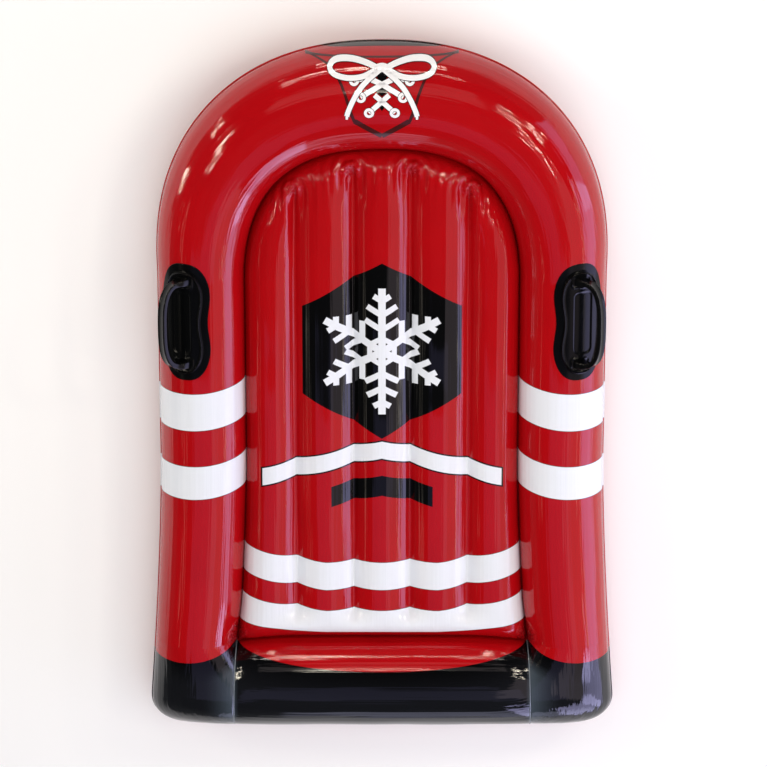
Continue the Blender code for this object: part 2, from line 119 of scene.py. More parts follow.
def endRow(turn, side, steps):
    # A cross-section of a side tube beside the bolster
    outerX = outerEdgeX(ring["bolsterY"] + ring["bolsterRadius"] * math.cos(turn))
    rise = max(0.0, math.sin(turn))
    height = ring["tubeRadius"] * (rise if turn > math.pi / 2 else 1.0)
    weldShare = ring["bolsterPinch"] * ring["bolsterRadius"] / ring["tubeRadius"]
    if turn < math.pi / 2:
        weldShare *= rise
    lastAngle = math.pi - math.asin(weldShare)
    half = (outerX - weldEdgeX(turn)) / (1.0 - math.cos(lastAngle))
    row = []
    for angle in np.linspace(0.0, lastAngle, steps + 1):
        y = pinchedY(turn, angle / lastAngle)
        row.append((outerX - half * (1.0 - math.cos(angle)), y,
                    equatorHeight(y) + side * height * math.sin(angle)))
    return np.array(row)


def sideRow(y, side, steps):
    # The corner's pinch dies away along the first stretch of the side tube
    angles = np.linspace(0.0, math.pi, steps + 1)
    pinched = 1.0 - float(ease(y, innerCornerY, ring["straightBy"]))
    outerX = ring["centreX"] + flare(y) + ring["tubeRadius"]
    half = ring["tubeRadius"] - ring["cornerSpread"] * pinched / 2
    back = ring["pinchBack"] * pinched * (angles / math.pi) ** ring["pinchPower"]
    spots = y - back
    return np.stack([outerX - half * (1.0 - np.cos(angles)), spots,
                     equatorHeight(spots) + side * ring["tubeRadius"] * np.sin(angles)], axis=1)


def archRow(turn, side, steps):
    angles = np.linspace(0.0, math.pi, steps + 1)
    x, y, outward, radius = archPoint(turn)
    reach = radius * np.cos(angles)
    height = np.maximum(0.0, equatorHeight(y) + side * radius * np.sin(angles))
    return np.stack([x + outward.x * reach, y + outward.y * reach, height], axis=1)


def innerLine():
    # Plan line of the ring's inner weld, from the rear corner to the tip
    line = [(weldEdgeX(0.0), pinchedY(0.0, 1.0))]
    for y in np.linspace(innerCornerY, ring["archStart"], ring["weldSideSteps"])[1:]:
        line.append(tuple(sideRow(y, 1.0, 2)[-1][:2]))
    for turn in archTurns(ring["weldNoseSteps"])[1:]:
        line.append(tuple(archRow(turn, 1.0, 2)[-1][:2]))
    return np.array(line)


# How far the lengths of the film's waves and streaks stray from their settings
waveSpread = (0.7, 1.5)
streakSpread = (0.7, 1.6)


def filmWaves(spots, settings):
    # Slow swells that a blown-up film keeps, from a few fixed sines
    total = np.zeros(len(spots))
    generator = np.random.default_rng(settings["seed"])
    for _ in range(settings["waves"]):
        direction = generator.normal(size=3)
        length = settings["wavelength"] * generator.uniform(*waveSpread)
        direction *= math.tau / (length * np.linalg.norm(direction))
        total += np.sin(spots @ direction + generator.uniform(0.0, math.tau))
    return settings["height"] * total / math.sqrt(settings["waves"])


# Small creases where film is gathered: each fans out from a spot and dies away round it
cornerCreases = {"spot": (0.2640, -0.4560), "reach": 0.019, "height": 0.0016, "count": 11, "twist": 0.7,
                 "fall": 1.6}
seamPuckers = {"reach": 0.017, "height": 0.0024, "count": 7, "twist": 0.35, "fall": 1.6}
seamFolds = {"spacing": 0.0170, "shift": 0.0120, "height": 0.0042, "reach": 0.026, "back": 0.036,
             "start": (0.002, 0.011)}


def fanCreases(spots, centre, settings, facing=0.0):
    dx = spots[:, 0] - centre[0]
    dy = spots[:, 1] - centre[1]
    distance = np.hypot(dx, dy) + 1e-9
    angle = np.arctan2(dy, dx) - facing
    near = distance / settings["reach"]
    fan = np.cos(settings["count"] * angle + settings["twist"] * math.tau * near)
    return settings["height"] * fan * near * np.exp(-settings["fall"] * near * near)


def archedFolds(spots, end, settings):
    # Folds that arch round the front end of a seam and die away back along it
    ahead = np.maximum(0.0, spots[:, 1] - end[1])
    behind = np.maximum(0.0, end[1] - spots[:, 1])
    distance = np.hypot(spots[:, 0] - end[0], ahead)
    fold = np.cos(math.tau * (distance - settings["shift"]) / settings["spacing"])
    fade = np.exp(-distance / settings["reach"] - (behind / settings["back"]) ** 2)
    return settings["height"] * fold * fade * ease(distance, *settings["start"])


def mirroredCreases(spots):
    right = spots.copy()
    right[:, 0] = np.abs(right[:, 0])
    return fanCreases(right, cornerCreases["spot"], cornerCreases)


def linked(name, data):
    made = bpy.data.objects.new(name, data)
    bpy.context.scene.collection.objects.link(made)
    return made


def cleanMesh(mesh, joined=0.0, needles=0.0):
    # Joins points and drops faces that are closer or thinner than these lengths, and turns all faces outwards
    work = bmesh.new()
    work.from_mesh(mesh)
    if joined:
        bmesh.ops.remove_doubles(work, verts=work.verts, dist=joined)
    if needles:
        bmesh.ops.dissolve_degenerate(work, edges=work.edges, dist=needles)
    bmesh.ops.recalc_face_normals(work, faces=work.faces)
    work.to_mesh(mesh)
    work.free()
    mesh.shade_smooth()


def keepEvaluated(piece):
    # Keeps what the modifiers make as a plain mesh
    evaluated = piece.evaluated_get(bpy.context.evaluated_depsgraph_get())
    made = bpy.data.meshes.new_from_object(evaluated)
    piece.modifiers.clear()
    piece.data = made
    made.name = piece.name
    return made


def readLayer(data, key, size=3):
    # What a mesh keeps for each of its points
    values = np.zeros(len(data) * size)
    data.foreach_get(key, values)
    return values.reshape(-1, size) if size > 1 else values


def readPoints(mesh):
    return readLayer(mesh.vertices, "co")


def readPlaces(mesh):
    return readLayer(mesh.attributes["filmPlace"].data, "vector")


def writePlaces(mesh, places):
    layer = mesh.attributes.get("filmPlace") or mesh.attributes.new("filmPlace", "FLOAT_VECTOR", "POINT")
    layer.data.foreach_set("vector", np.asarray(places, dtype=float).ravel())


def meshPiece(name, vertices, faces, materials, smoothAngle=None, filmPlaces=None):
    mesh = bpy.data.meshes.new(name)
    mesh.from_pydata([tuple(map(float, vertex)) for vertex in vertices], [], [tuple(face) for face in faces])
    if filmPlaces is not None:
        writePlaces(mesh, filmPlaces)
    cleanMesh(mesh, 2e-6, 1e-7)
    if smoothAngle:
        mesh.set_sharp_from_angle(angle=math.radians(smoothAngle))
    for material in materials:
        mesh.materials.append(material)
    return linked(name, mesh)


def swell(piece, heights):
    # Moves each point along its normal, but nothing below the ground
    mesh = piece.data
    spots = readPoints(mesh) + readLayer(mesh.vertex_normals, "vector") * heights[:, None]
    spots[:, 2] = np.maximum(spots[:, 2], 0.0)
    mesh.vertices.foreach_set("co", spots.ravel())
    mesh.update()


def gridFaces(rows, columns, closed=False):
    faces = []
    for i in range(rows - 1):
        for j in range(columns if closed else columns - 1):
            k = (j + 1) % columns
            faces.append((i * columns + j, (i + 1) * columns + j, (i + 1) * columns + k, i * columns + k))
    return faces


def linearColour(code):
    # An sRGB hex code as linear light
    parts = [int(code[i:i + 2], 16) / 255 for i in (1, 3, 5)]
    light = [part / 12.92 if part <= 0.04045 else ((part + 0.055) / 1.055) ** 2.4 for part in parts]
    return (*light, 1.0)


def fill(tree, node, values):
    # Fills a node's inputs, by name or by number, from links or values
    for key, value in values.items():
        if isinstance(value, bpy.types.NodeSocket):
            tree.links.new(value, node.inputs[key])
        elif value is not None:
            node.inputs[key].default_value = value


def addNode(tree, kind, settings, *inputs):
    # Adds a node, sets its properties, and fills its inputs by name or in order
    node = tree.nodes.new(kind)
    for key, value in settings.items():
        if isinstance(key, str) and hasattr(node, key):
            setattr(node, key, value)
        else:
            fill(tree, node, {key: value})
    fill(tree, node, dict(enumerate(inputs)))
    return node.outputs[0]


# PVC film: calendered, printed on the upper sheets and then welded. The ink lies under the gloss, so all
# colours shine alike, and the rolls leave faint streaks that draw each reflection out along the tube.
# Streaks are 12 mm apart with finer lines 3 to 4 mm apart between them, and the grain is 0.8 mm.
film = {
    "ior": 1.49, "roughness": 0.065, "roughnessSpread": 0.03,
    "streakWidth": 0.0125, "streakLength": 0.90, "streakHeight": 0.0010,
    "lineWidth": 0.0032, "lineLength": 0.60, "lineHeight": 0.00024,
    "grainSize": 0.0008, "grainHeight": 0.0000012,
    "red": "#b20911", "redDeep": "#a6070f", "cloudSize": 1 / 14, "white": "#e9edf6", "black": "#060607",
    # Hem colours: the deepest black is painted shade at the hem's line, the dark grey a painted reflection
    # further back, and the pale grey-blue a painted reflection by the corner weld
    "hemShadeBlack": "#030304", "hemGrey": "#131418", "hemPale": "#48525c", "collar": "#070707",
    "outline": "#3c0c10", "outlineWidth": 0.0010,
    "sharpness": 1300.0, "gatherSize": 0.0060, "gatherHeight": 0.0140,
    # Where the film is gathered into small creases: x, y, z, reach and strength
    "gathers": [(0.2660, -0.4530, 0.1080, 0.026, 1.0), (0.0540, 0.4120, 0.1220, 0.016, 0.30),
                (0.1570, 0.3780, 0.1200, 0.016, 0.30)],
}


def newMaterial(name):
    material = bpy.data.materials.new(name)
    material.use_nodes = True
    return material, material.node_tree


def filmMaterial(name, steps, prints):
    # steps are sums on the place of a point; prints are (mask, colour), painted one over the other.
    # A colour is a hex code, or (mask, hex code, hex code) for a blend.
    material, tree = newMaterial(name)
    place = addNode(tree, "ShaderNodeAttribute", {"attribute_name": "filmPlace"}).node.outputs["Vector"]
    objectPlace = addNode(tree, "ShaderNodeTexCoord", {}).node.outputs["Object"]
    split = addNode(tree, "ShaderNodeSeparateXYZ", {}, objectPlace).node.outputs
    made = {"x": split["X"], "y": split["Y"], "z": split["Z"]}
    slope = (noseEquator - rearEquator) / (noseY - ring["bolsterY"])
    always = [
        ("ax", "ABSOLUTE", "x"),
        ("equator", "MULTIPLY_ADD", "y", slope, rearEquator - slope * ring["bolsterY"]),
        ("overEquator", "SUBTRACT", "z", "equator"),
        maskStep("Top", "overEquator"),
    ]
    for number, (x, y, z, reach, strength) in enumerate(film["gathers"]):
        always += [("alongX", "SUBTRACT", "ax", x), ("xPart", "MULTIPLY", "alongX", "alongX"),
                   ("alongY", "SUBTRACT", "y", y), ("flat", "MULTIPLY_ADD", "alongY", "alongY", "xPart"),
                   ("alongZ", "SUBTRACT", "z", z), ("away", "MULTIPLY_ADD", "alongZ", "alongZ", "flat"),
                   ("share", "MULTIPLY", "away", strength / reach ** 2),
                   ("inSpot", "SUBTRACT", strength, "share"),
                   ("inGather", "MAXIMUM", "inSpot", "inGather" if number else 0.0)]
    # Every result whose name starts with "in" is a mask, clamped to 0 to 1
    for result, operation, *values in always + steps:
        settings = {"operation": operation, "use_clamp": result.startswith("in")}
        values = [made.get(value, value) for value in values]
        made[result] = addNode(tree, "ShaderNodeMath", settings, *values)

    noises = {}
    for kind, settings in {"streak": {"Detail": 2.0, "Roughness": 0.45}, "line": {"Detail": 1.0}}.items():
        length, width = film[kind + "Length"], film[kind + "Width"]
        drawn = addNode(tree, "ShaderNodeVectorMath", {"operation": "MULTIPLY"}, place,
                        (1 / length, 1 / width, 1 / width))
        noises[kind] = addNode(tree, "ShaderNodeTexNoise", {"Scale": 1.0, **settings}, drawn)
    for kind, settings in {"grain": {"Detail": 1.0}, "cloud": {"Detail": 2.0},
                           "gather": {"Detail": 1.5, "Distortion": 1.2}}.items():
        noises[kind] = addNode(tree, "ShaderNodeTexNoise", {"Scale": 1 / film[kind + "Size"], **settings},
                               objectPlace)

    colour = addNode(tree, "ShaderNodeMix", {
        "data_type": "RGBA", 0: noises["cloud"], 6: linearColour(film["red"]),
        7: linearColour(film["redDeep"])}).node.outputs[2]
    for mask, code in prints:
        if isinstance(code, str):
            ink = linearColour(code)
        else:
            ink = addNode(tree, "ShaderNodeMix", {
                "data_type": "RGBA", 0: made[code[0]], 6: linearColour(code[1]),
                7: linearColour(code[2])}).node.outputs[2]
        upper = addNode(tree, "ShaderNodeMath", {"operation": "MULTIPLY"}, made[mask], made["inTop"])
        colour = addNode(tree, "ShaderNodeMix", {
            "data_type": "RGBA", 0: upper, 6: colour, 7: ink}).node.outputs[2]

    roughness = addNode(tree, "ShaderNodeMath", {"operation": "MULTIPLY_ADD"}, noises["streak"],
                        film["roughnessSpread"], film["roughness"] - film["roughnessSpread"] / 2)
    noises["gather"] = addNode(tree, "ShaderNodeMath", {"operation": "MULTIPLY"}, noises["gather"],
                               made["inGather"])
    relief = {}
    for kind in ("grain", "line", "streak", "gather"):
        settings = {"Strength": 1.0, "Distance": film[kind + "Height"], "Height": noises[kind], **relief}
        relief = {"Normal": addNode(tree, "ShaderNodeBump", settings)}
    fill(tree, tree.nodes["Principled BSDF"], {
        "Base Color": colour, "Roughness": roughness, "IOR": film["ior"], **relief})
    return material


def maskStep(name, left, margin=0.0):
    # A print's mask: 1 where left is above 0, which is how far a point lies inside the print
    return ("in" + name, "MULTIPLY_ADD", left, film["sharpness"], 0.5 + margin * film["sharpness"])


def bandSteps(name, start, width):
    # A print between two lines, from how far a point is past the first one
    return [(name + "Middle", "SUBTRACT", start, width / 2), (name + "Off", "ABSOLUTE", name + "Middle"),
            (name + "Left", "SUBTRACT", width / 2, name + "Off"),
            maskStep(name, name + "Left"), maskStep(name + "Edge", name + "Left", film["outlineWidth"])]


def hemSteps(settings):
    # The black hem lies behind hemLine. Its black print is painted darkest at the line as shade and greyer
    # further back as reflection, and a painted reflection of the side light pales it towards the corner weld.
    return [("pastHem", "SUBTRACT", "hemLine", "y"), maskStep("Hem", "pastHem"),
            # Painted shade and reflection: the hem's black print is deepest at its line and greys further
            # back
            ("inHemGrey", "DIVIDE", "pastHem", settings["shadeFadeRun"]),
            # Painted reflection of the side light: the hem pales near the corner weld
            ("fromWeld", "SUBTRACT", "ax", settings["weldX"]),
            ("weldRun", "DIVIDE", "fromWeld", settings["reflectionWidth"]),
            ("inFar", "ABSOLUTE", "weldRun"), ("weldNear", "SUBTRACT", 1.0, "inFar"),
            ("nearSquare", "MULTIPLY", "weldNear", "weldNear"),
            ("deep", "SUBTRACT", "pastHem", settings["blackEdge"]),
            ("inDeep", "DIVIDE", "deep", settings["reflectionRun"]),
            ("inPale", "MULTIPLY", "nearSquare", "inDeep"), ("paleHem", "MULTIPLY", "inPale", "inHem")]


# Two white bands on each side tube, bowed as they are printed on a flat sheet; the black hem; the black
# collar round the tip of the nose
ringPrint = {
    "bandBow": 0.0065, "bands": {"First": (0.0170, 0.0678), "Second": (-0.1180, 0.0610)},
    "hemX": 0.3355, "hemY": -0.4915, "hemLean": 0.011, "hemBow": 0.014, "shadeFadeRun": 0.045,
    "weldX": 0.2640, "reflectionWidth": 0.062, "blackEdge": 0.020, "reflectionRun": 0.022,
    "collarY": 0.6315, "collarBow": 0.45,
}
ringPrints = [
    ("fromCentre", "SUBTRACT", ring["centreX"], "ax"), ("t", "DIVIDE", "fromCentre", ring["tubeRadius"]),
    ("tt", "MULTIPLY", "t", "t"), ("bow", "ADD", "t", "tt"),
    ("bowed", "MULTIPLY", "bow", ringPrint["bandBow"]), ("flatY", "SUBTRACT", "y", "bowed"),
    ("hemAcross", "SUBTRACT", ringPrint["hemX"], "ax"), ("hemT", "DIVIDE", "hemAcross", ring["tubeRadius"]),
    ("hemTT", "MULTIPLY", "hemT", "hemT"), ("hemBow", "MULTIPLY", "hemTT", ringPrint["hemBow"]),
    ("hemBowed", "MULTIPLY_ADD", "hemT", ringPrint["hemLean"], "hemBow"),
    ("hemLine", "ADD", "hemBowed", ringPrint["hemY"]), *hemSteps(ringPrint),
    ("xx", "MULTIPLY", "x", "x"), ("collarLine", "MULTIPLY_ADD", "xx", ringPrint["collarBow"], "y"),
    ("pastCollar", "SUBTRACT", "collarLine", ringPrint["collarY"]), maskStep("Collar", "pastCollar"),
]
for name, (start, width) in ringPrint["bands"].items():
    ringPrints += [("past" + name, "SUBTRACT", start, "flatY"), *bandSteps(name, "past" + name, width)]
# The hem's black print, painted darkest at its line as shade and greyer further back as reflection, and a
# painted reflection by the corner weld
hemColours = [("inHem", ("inHemGrey", film["hemShadeBlack"], film["hemGrey"])), ("paleHem", film["hemPale"])]
ringColours = [("inFirstEdge", film["outline"]), ("inSecondEdge", film["outline"]),
               ("inFirst", film["white"]), ("inSecond", film["white"]), *hemColours,
               ("inCollar", film["collar"])]
ringVinyl = filmMaterial("printedRingVinyl", ringPrints, ringColours)
rimVinyl = filmMaterial("rimWeldVinyl", ringPrints + [("inTop", "ADD", 1.0, 0.0)], ringColours)

# The hem runs on over the bolster below a bowed line, with the same painted shade and a painted reflection by
# the corner weld
bolsterPrint = {"hemY": -0.5086, "hemCurve": 0.38, "hemBow": 1.6, "shadeFadeRun": 0.060,
                "weldX": 0.2690, "reflectionWidth": 0.012, "blackEdge": 0.006, "reflectionRun": 0.030}
bolsterVinyl = filmMaterial("printedBolsterVinyl", [
    ("xx", "MULTIPLY", "x", "x"), ("xxxx", "MULTIPLY", "xx", "xx"),
    ("bow", "MULTIPLY", "xxxx", bolsterPrint["hemBow"]),
    ("hemBowed", "MULTIPLY_ADD", "xx", bolsterPrint["hemCurve"], "bow"),
    ("hemLine", "ADD", "hemBowed", bolsterPrint["hemY"]), *hemSteps(bolsterPrint)], hemColours)

# Two white bands across the floor that bow up at its sides, and a badge: a snow crystal in a hexagon over
# two chevrons
floorBands = {
    "bowStart": 0.10, "bowRise": 0.1, "bowCurve": 0.75,
    # Front and rear edge of each band: its share of the bow, and its y in the middle of the floor
    "edges": {"Band1": ((1.0, -0.3115), (1.0, -0.3635)), "Band2": ((0.9, -0.404), (0.55, -0.4462))},
}
badge = {
    "y": 0.085, "inradius": 0.140, "armReach": 0.116, "armHalf": 0.0066, "twigHalf": 0.0052,
    # Each pair of twigs: where it starts along the arm, and its length
    "twigs": [(0.040, 0.034), (0.067, 0.030), (0.093, 0.017)], "ringIn": 0.017, "ringOut": 0.026,
    # Each chevron: the y of its tip, its slope, its half width and its half length across the floor
    "chevrons": {"Chevron": (-0.098, 0.24, 0.0160, 0.212), "LowChevron": (-0.165, 0.24, 0.0190, 0.090)},
    "chevronLine": 0.0028,
}
sixth = math.pi / 3
floorPrints = [
    ("outwards", "SUBTRACT", "ax", floorBands["bowStart"]), ("d", "MAXIMUM", "outwards", 0.0),
    ("dd", "MULTIPLY", "d", "d"), ("rise", "MULTIPLY", "d", floorBands["bowRise"]),
    ("bow", "MULTIPLY_ADD", "dd", floorBands["bowCurve"], "rise"),
    # The badge is folded into one twelfth: u runs along an arm and v away from it
    ("up", "SUBTRACT", "y", badge["y"]), ("angle", "ARCTAN2", "x", "up"),
    ("share", "DIVIDE", "angle", sixth), ("whole", "ROUND", "share"),
    ("folded", "SUBTRACT", "share", "whole"), ("turn", "MULTIPLY", "folded", sixth),
    ("upup", "MULTIPLY", "up", "up"), ("rr", "MULTIPLY_ADD", "x", "x", "upup"), ("r", "SQRT", "rr"),
    ("cosine", "COSINE", "turn"), ("sine", "SINE", "turn"), ("u", "MULTIPLY", "r", "cosine"),
    ("side", "MULTIPLY", "r", "sine"), ("v", "ABSOLUTE", "side"),
    ("uFlat", "MULTIPLY", "u", math.cos(math.pi / 6)), ("flat", "MULTIPLY_ADD", "v", 0.5, "uFlat"),
    ("hexLeft", "SUBTRACT", badge["inradius"], "flat"), maskStep("Hex", "hexLeft"),
    ("armSide", "SUBTRACT", badge["armHalf"], "v"), ("armEnd", "SUBTRACT", badge["armReach"], "u"),
    ("crystal0", "MINIMUM", "armSide", "armEnd"),
    ("ringMiddle", "SUBTRACT", "flat", (badge["ringIn"] + badge["ringOut"]) / 2),
    ("ringOff", "ABSOLUTE", "ringMiddle"),
    ("hub", "SUBTRACT", (badge["ringOut"] - badge["ringIn"]) / 2, "ringOff"),
    ("crystal1", "MAXIMUM", "crystal0", "hub"),
]
for name, (front, rear) in floorBands["edges"].items():
    floorPrints += [
        (name + "Front", "MULTIPLY_ADD", "bow", *front), (name + "Behind", "SUBTRACT", name + "Front", "y"),
        (name + "Rear", "MULTIPLY_ADD", "bow", *rear), (name + "Before", "SUBTRACT", "y", name + "Rear"),
        (name + "Left", "MINIMUM", name + "Behind", name + "Before"),
        maskStep(name, name + "Left"), maskStep(name + "Edge", name + "Left", film["outlineWidth"])]
for number, (start, reach) in enumerate(badge["twigs"], start=2):
    n = str(number)
    floorPrints += [
        ("from" + n, "SUBTRACT", "u", start), ("a" + n, "MULTIPLY", "from" + n, math.sin(sixth)),
        ("b" + n, "MULTIPLY_ADD", "v", -math.cos(sixth), "a" + n), ("off" + n, "ABSOLUTE", "b" + n),
        ("thin" + n, "SUBTRACT", badge["twigHalf"], "off" + n),
        ("c" + n, "MULTIPLY", "from" + n, math.cos(sixth)),
        ("run" + n, "MULTIPLY_ADD", "v", math.sin(sixth), "c" + n),
        ("end" + n, "SUBTRACT", reach, "run" + n), ("start" + n, "MINIMUM", "end" + n, "run" + n),
        ("twig" + n, "MINIMUM", "thin" + n, "start" + n),
        ("crystal" + n, "MAXIMUM", "crystal" + str(number - 1), "twig" + n)]
floorPrints += [maskStep("Crystal", "crystal" + str(len(badge["twigs"]) + 1))]
for name, (top, steep, half, reach) in badge["chevrons"].items():
    floorPrints += [
        (name + "Line", "MULTIPLY_ADD", "ax", steep, "y"), (name + "Past", "SUBTRACT", name + "Line", top),
        (name + "Off", "ABSOLUTE", name + "Past"), (name + "Thin", "SUBTRACT", half, name + "Off"),
        (name + "End", "SUBTRACT", reach, "ax"), (name + "Both", "MINIMUM", name + "Thin", name + "End"),
        maskStep(name, name + "Both")]
floorPrints += [("ChevronWide", "ADD", "ChevronBoth", badge["chevronLine"]),
                maskStep("ChevronLine", "ChevronWide")]
floorVinyl = filmMaterial("printedFloorVinyl", floorPrints, [
    ("inBand1Edge", film["outline"]), ("inBand2Edge", film["outline"]),
    ("inBand1", film["white"]), ("inBand2", film["white"]),
    ("inHex", film["black"]), ("inCrystal", film["white"]),
    ("inChevronLine", film["black"]), ("inChevron", film["white"]), ("inLowChevron", film["black"])])
webVinyl = filmMaterial("plainWebVinyl", [], [])


def vinylMaterial(name, look):
    material, tree = newMaterial(name)
    place = addNode(tree, "ShaderNodeTexCoord", {}).node.outputs["Object"]
    clouds = addNode(tree, "ShaderNodeTexNoise", {"Scale": 1 / look["clouds"], "Detail": 3.0}, place)
    grain = addNode(tree, "ShaderNodeTexNoise", {"Scale": 1 / look["grain"], "Detail": 1.0}, place)
    colour = addNode(tree, "ShaderNodeMix", {
        "data_type": "RGBA", 0: clouds, 6: linearColour(look["colour"]),
        7: linearColour(look["deep"])}).node.outputs[2]
    roughness = addNode(tree, "ShaderNodeMath", {"operation": "MULTIPLY_ADD"}, clouds, look["spread"],
                        look["roughness"] - look["spread"] / 2)
    bump = addNode(tree, "ShaderNodeBump", {
        "Strength": 1.0, "Distance": look["grainHeight"], "Height": grain})
    fill(tree, tree.nodes["Principled BSDF"], {
        "Base Color": colour, "Roughness": roughness, "Normal": bump, "IOR": look["ior"],
        "Specular IOR Level": look["shine"], "Transmission Weight": look["clear"]})
    return material


# Soft PVC, injection moulded in a spark-eroded mould: a fine even grain of 0.9 mm dulls its shine
mouldedVinyl = vinylMaterial("mouldedBlackVinyl", {
    "colour": "#08090a", "deep": "#040405", "roughness": 0.19, "spread": 0.08, "shine": 0.20, "ior": 1.50,
    "clouds": 0.030, "grain": 0.0009, "grainHeight": 0.000014, "clear": 0.0})
# Soft clear PVC, moulded and never painted: milky where it is thick, so only part of the light goes through
clearVinyl = vinylMaterial("clearValveVinyl", {
    "colour": "#d3d8da", "deep": "#bfc7cc", "roughness": 0.20, "spread": 0.08, "shine": 0.5, "ior": 1.53,
    "clouds": 0.006, "grain": 0.0007, "grainHeight": 0.000006, "clear": 0.35})
# Black film where the welding bar squeezed it: the ink thins out and the PVC whitens along the line
hemWeldVinyl = vinylMaterial("hemWeldVinyl", {
    "colour": "#7d858e", "deep": "#5a626b", "roughness": 0.16, "spread": 0.06, "shine": 0.5, "ior": 1.53,
    "clouds": 0.012, "grain": 0.0010, "grainHeight": 0.000008, "clear": 0.0})
# Gloss inks, screen printed before the film is welded: nearly even, with the mesh's faint mottle
inkLook = {"roughness": 0.10, "spread": 0.05, "shine": 0.5, "ior": 1.49, "clouds": 0.020, "grain": 0.0008,
           "grainHeight": 0.0000012, "clear": 0.0}
whiteInk = vinylMaterial("whiteLaceInk", {**inkLook, "colour": "#f8f8fa", "deep": "#efeff4"})
shadowInk = vinylMaterial("laceOutlineInk", {**inkLook, "colour": "#181820", "deep": "#101016"})
lineInk = vinylMaterial("neckLineInk", {**inkLook, "colour": "#4c1a1a", "deep": "#3d1214"})
blackInk = vinylMaterial("blackNeckInk", {**inkLook, "colour": "#070708", "deep": "#040405"})

# Ring film: one closed skin, from the left rear corner over the nose to the right one


def ringRows():
    sections = [(endRow, turn) for turn in np.linspace(math.pi, 0.0, ring["endSteps"] + 1)]
    straight = np.linspace(innerCornerY, ring["archStart"], ring["sideSteps"] + 1)[1:]
    sections += [(sideRow, y) for y in straight]
    sections += [(archRow, turn) for turn in archTurns(ring["archSteps"])[1:]]
    steps = ring["roundSteps"]
    rows = [np.concatenate([rowAt(spot, 1.0, steps), rowAt(spot, -1.0, steps)[::-1]])
            for rowAt, spot in sections]
    return rows + [row * mirror for row in rows[:-1]][::-1]


def ringPlaces(rows):
    # Each point's place on the film: along the tube, across it and above its widest line
    places, along, last = [], 0.0, None
    for row in rows:
        outer, inner = row[0], row[ring["roundSteps"]]
        centre = (outer + inner) / 2
        along += 0.0 if last is None else float(np.linalg.norm((centre - last)[:2]))
        last = centre
        outward = (outer - inner)[:2] / max(1e-6, float(np.linalg.norm((outer - inner)[:2])))
        for spot in row:
            places.append((along, float((spot - centre)[:2] @ outward), spot[2] - equatorHeight(spot[1])))
    return places


def filmStreaks(places, settings):
    # Long shallow troughs that run with the tube, as film shows that was wound on a roll
    generator = np.random.default_rng(settings["seed"])
    total = np.zeros(len(places))
    for _ in range(settings["waves"]):
        turn = generator.uniform(0.0, math.tau)
        across = math.tau / (settings["width"] * generator.uniform(*streakSpread))
        along = math.tau / (settings["length"] * generator.uniform(*streakSpread))
        total += np.sin(across * (places[:, 1] * math.cos(turn) + places[:, 2] * math.sin(turn))
                        + along * places[:, 0] + generator.uniform(0.0, math.tau))
    return settings["height"] * total / math.sqrt(settings["waves"])


weldCalm = (0.004, 0.030)  # the welds stay put


def swellFilm(piece, settings):
    spots, places = readPoints(piece.data), readPlaces(piece.data)
    lifts = filmWaves(spots, settings["waves"]) + filmStreaks(places, settings["streaks"])
    swell(piece, ease(np.abs(places[:, 2]), *weldCalm) * lifts + mirroredCreases(spots))
    print(piece.name + ":", len(piece.data.vertices), "points")


rows = ringRows()
ringFilm = meshPiece("ringFilm", np.concatenate(rows), gridFaces(len(rows), len(rows[0]), closed=True),
                     [ringVinyl], filmPlaces=ringPlaces(rows))
swellFilm(ringFilm, {"waves": {"seed": 4, "waves": 22, "wavelength": 0.17, "height": 0.00055},
                     "streaks": {"seed": 12, "waves": 16, "width": 0.026, "length": 0.45, "height": 0.00010}})

# Bolster film: a fat cushion across the rear, flat where it rests
bolster = {"acrossSteps": 150, "roundSteps": 52, "crowding": (0.55, 0.45),
           "waves": {"seed": 9, "waves": 18, "wavelength": 0.15, "height": 0.0006},
           "streaks": {"seed": 5, "waves": 14, "width": 0.030, "length": 0.30, "height": 0.00012}}


def bolsterRow(share, side):
    pinch = 1.0 - (1.0 - ring["bolsterPinch"]) * abs(share) ** ring["pinchPower"]
    height = ring["bolsterRadius"] * pinch
    row = []
    for turn in np.linspace(0.0, math.pi, bolster["roundSteps"] + 1):
        y = pinchedY(turn, abs(share))
        z = equatorHeight(y) + side * height * math.sin(turn)
        row.append((share * weldEdgeX(turn), y, max(0.0, z)))
    return np.array(row)


def bolsterPlaces(spots):
    middle = equatorHeight(spots[:, 1])
    return np.column_stack([spots[:, 0], spots[:, 1] - ring["bolsterY"], spots[:, 2] - middle])


# The cross-sections stand closer together towards the welds
crowded = np.sin(np.linspace(-math.pi / 2, math.pi / 2, bolster["acrossSteps"] + 1))
even = np.linspace(-1.0, 1.0, bolster["acrossSteps"] + 1)
shares = bolster["crowding"][0] * crowded + bolster["crowding"][1] * even
rows = [np.concatenate([bolsterRow(share, 1.0), bolsterRow(share, -1.0)[::-1]]) for share in shares]
around = len(rows[0])
faces = gridFaces(len(rows), around, closed=True)
for base in (0, (len(rows) - 1) * around):
    for i in range(bolster["roundSteps"]):
        faces.append((base + i, base + i + 1, base + around - 2 - i, base + around - 1 - i))
spots = np.concatenate(rows)
bolsterFilm = meshPiece("bolsterFilm", spots, faces, [bolsterVinyl], filmPlaces=bolsterPlaces(spots))
swellFilm(bolsterFilm, bolster)

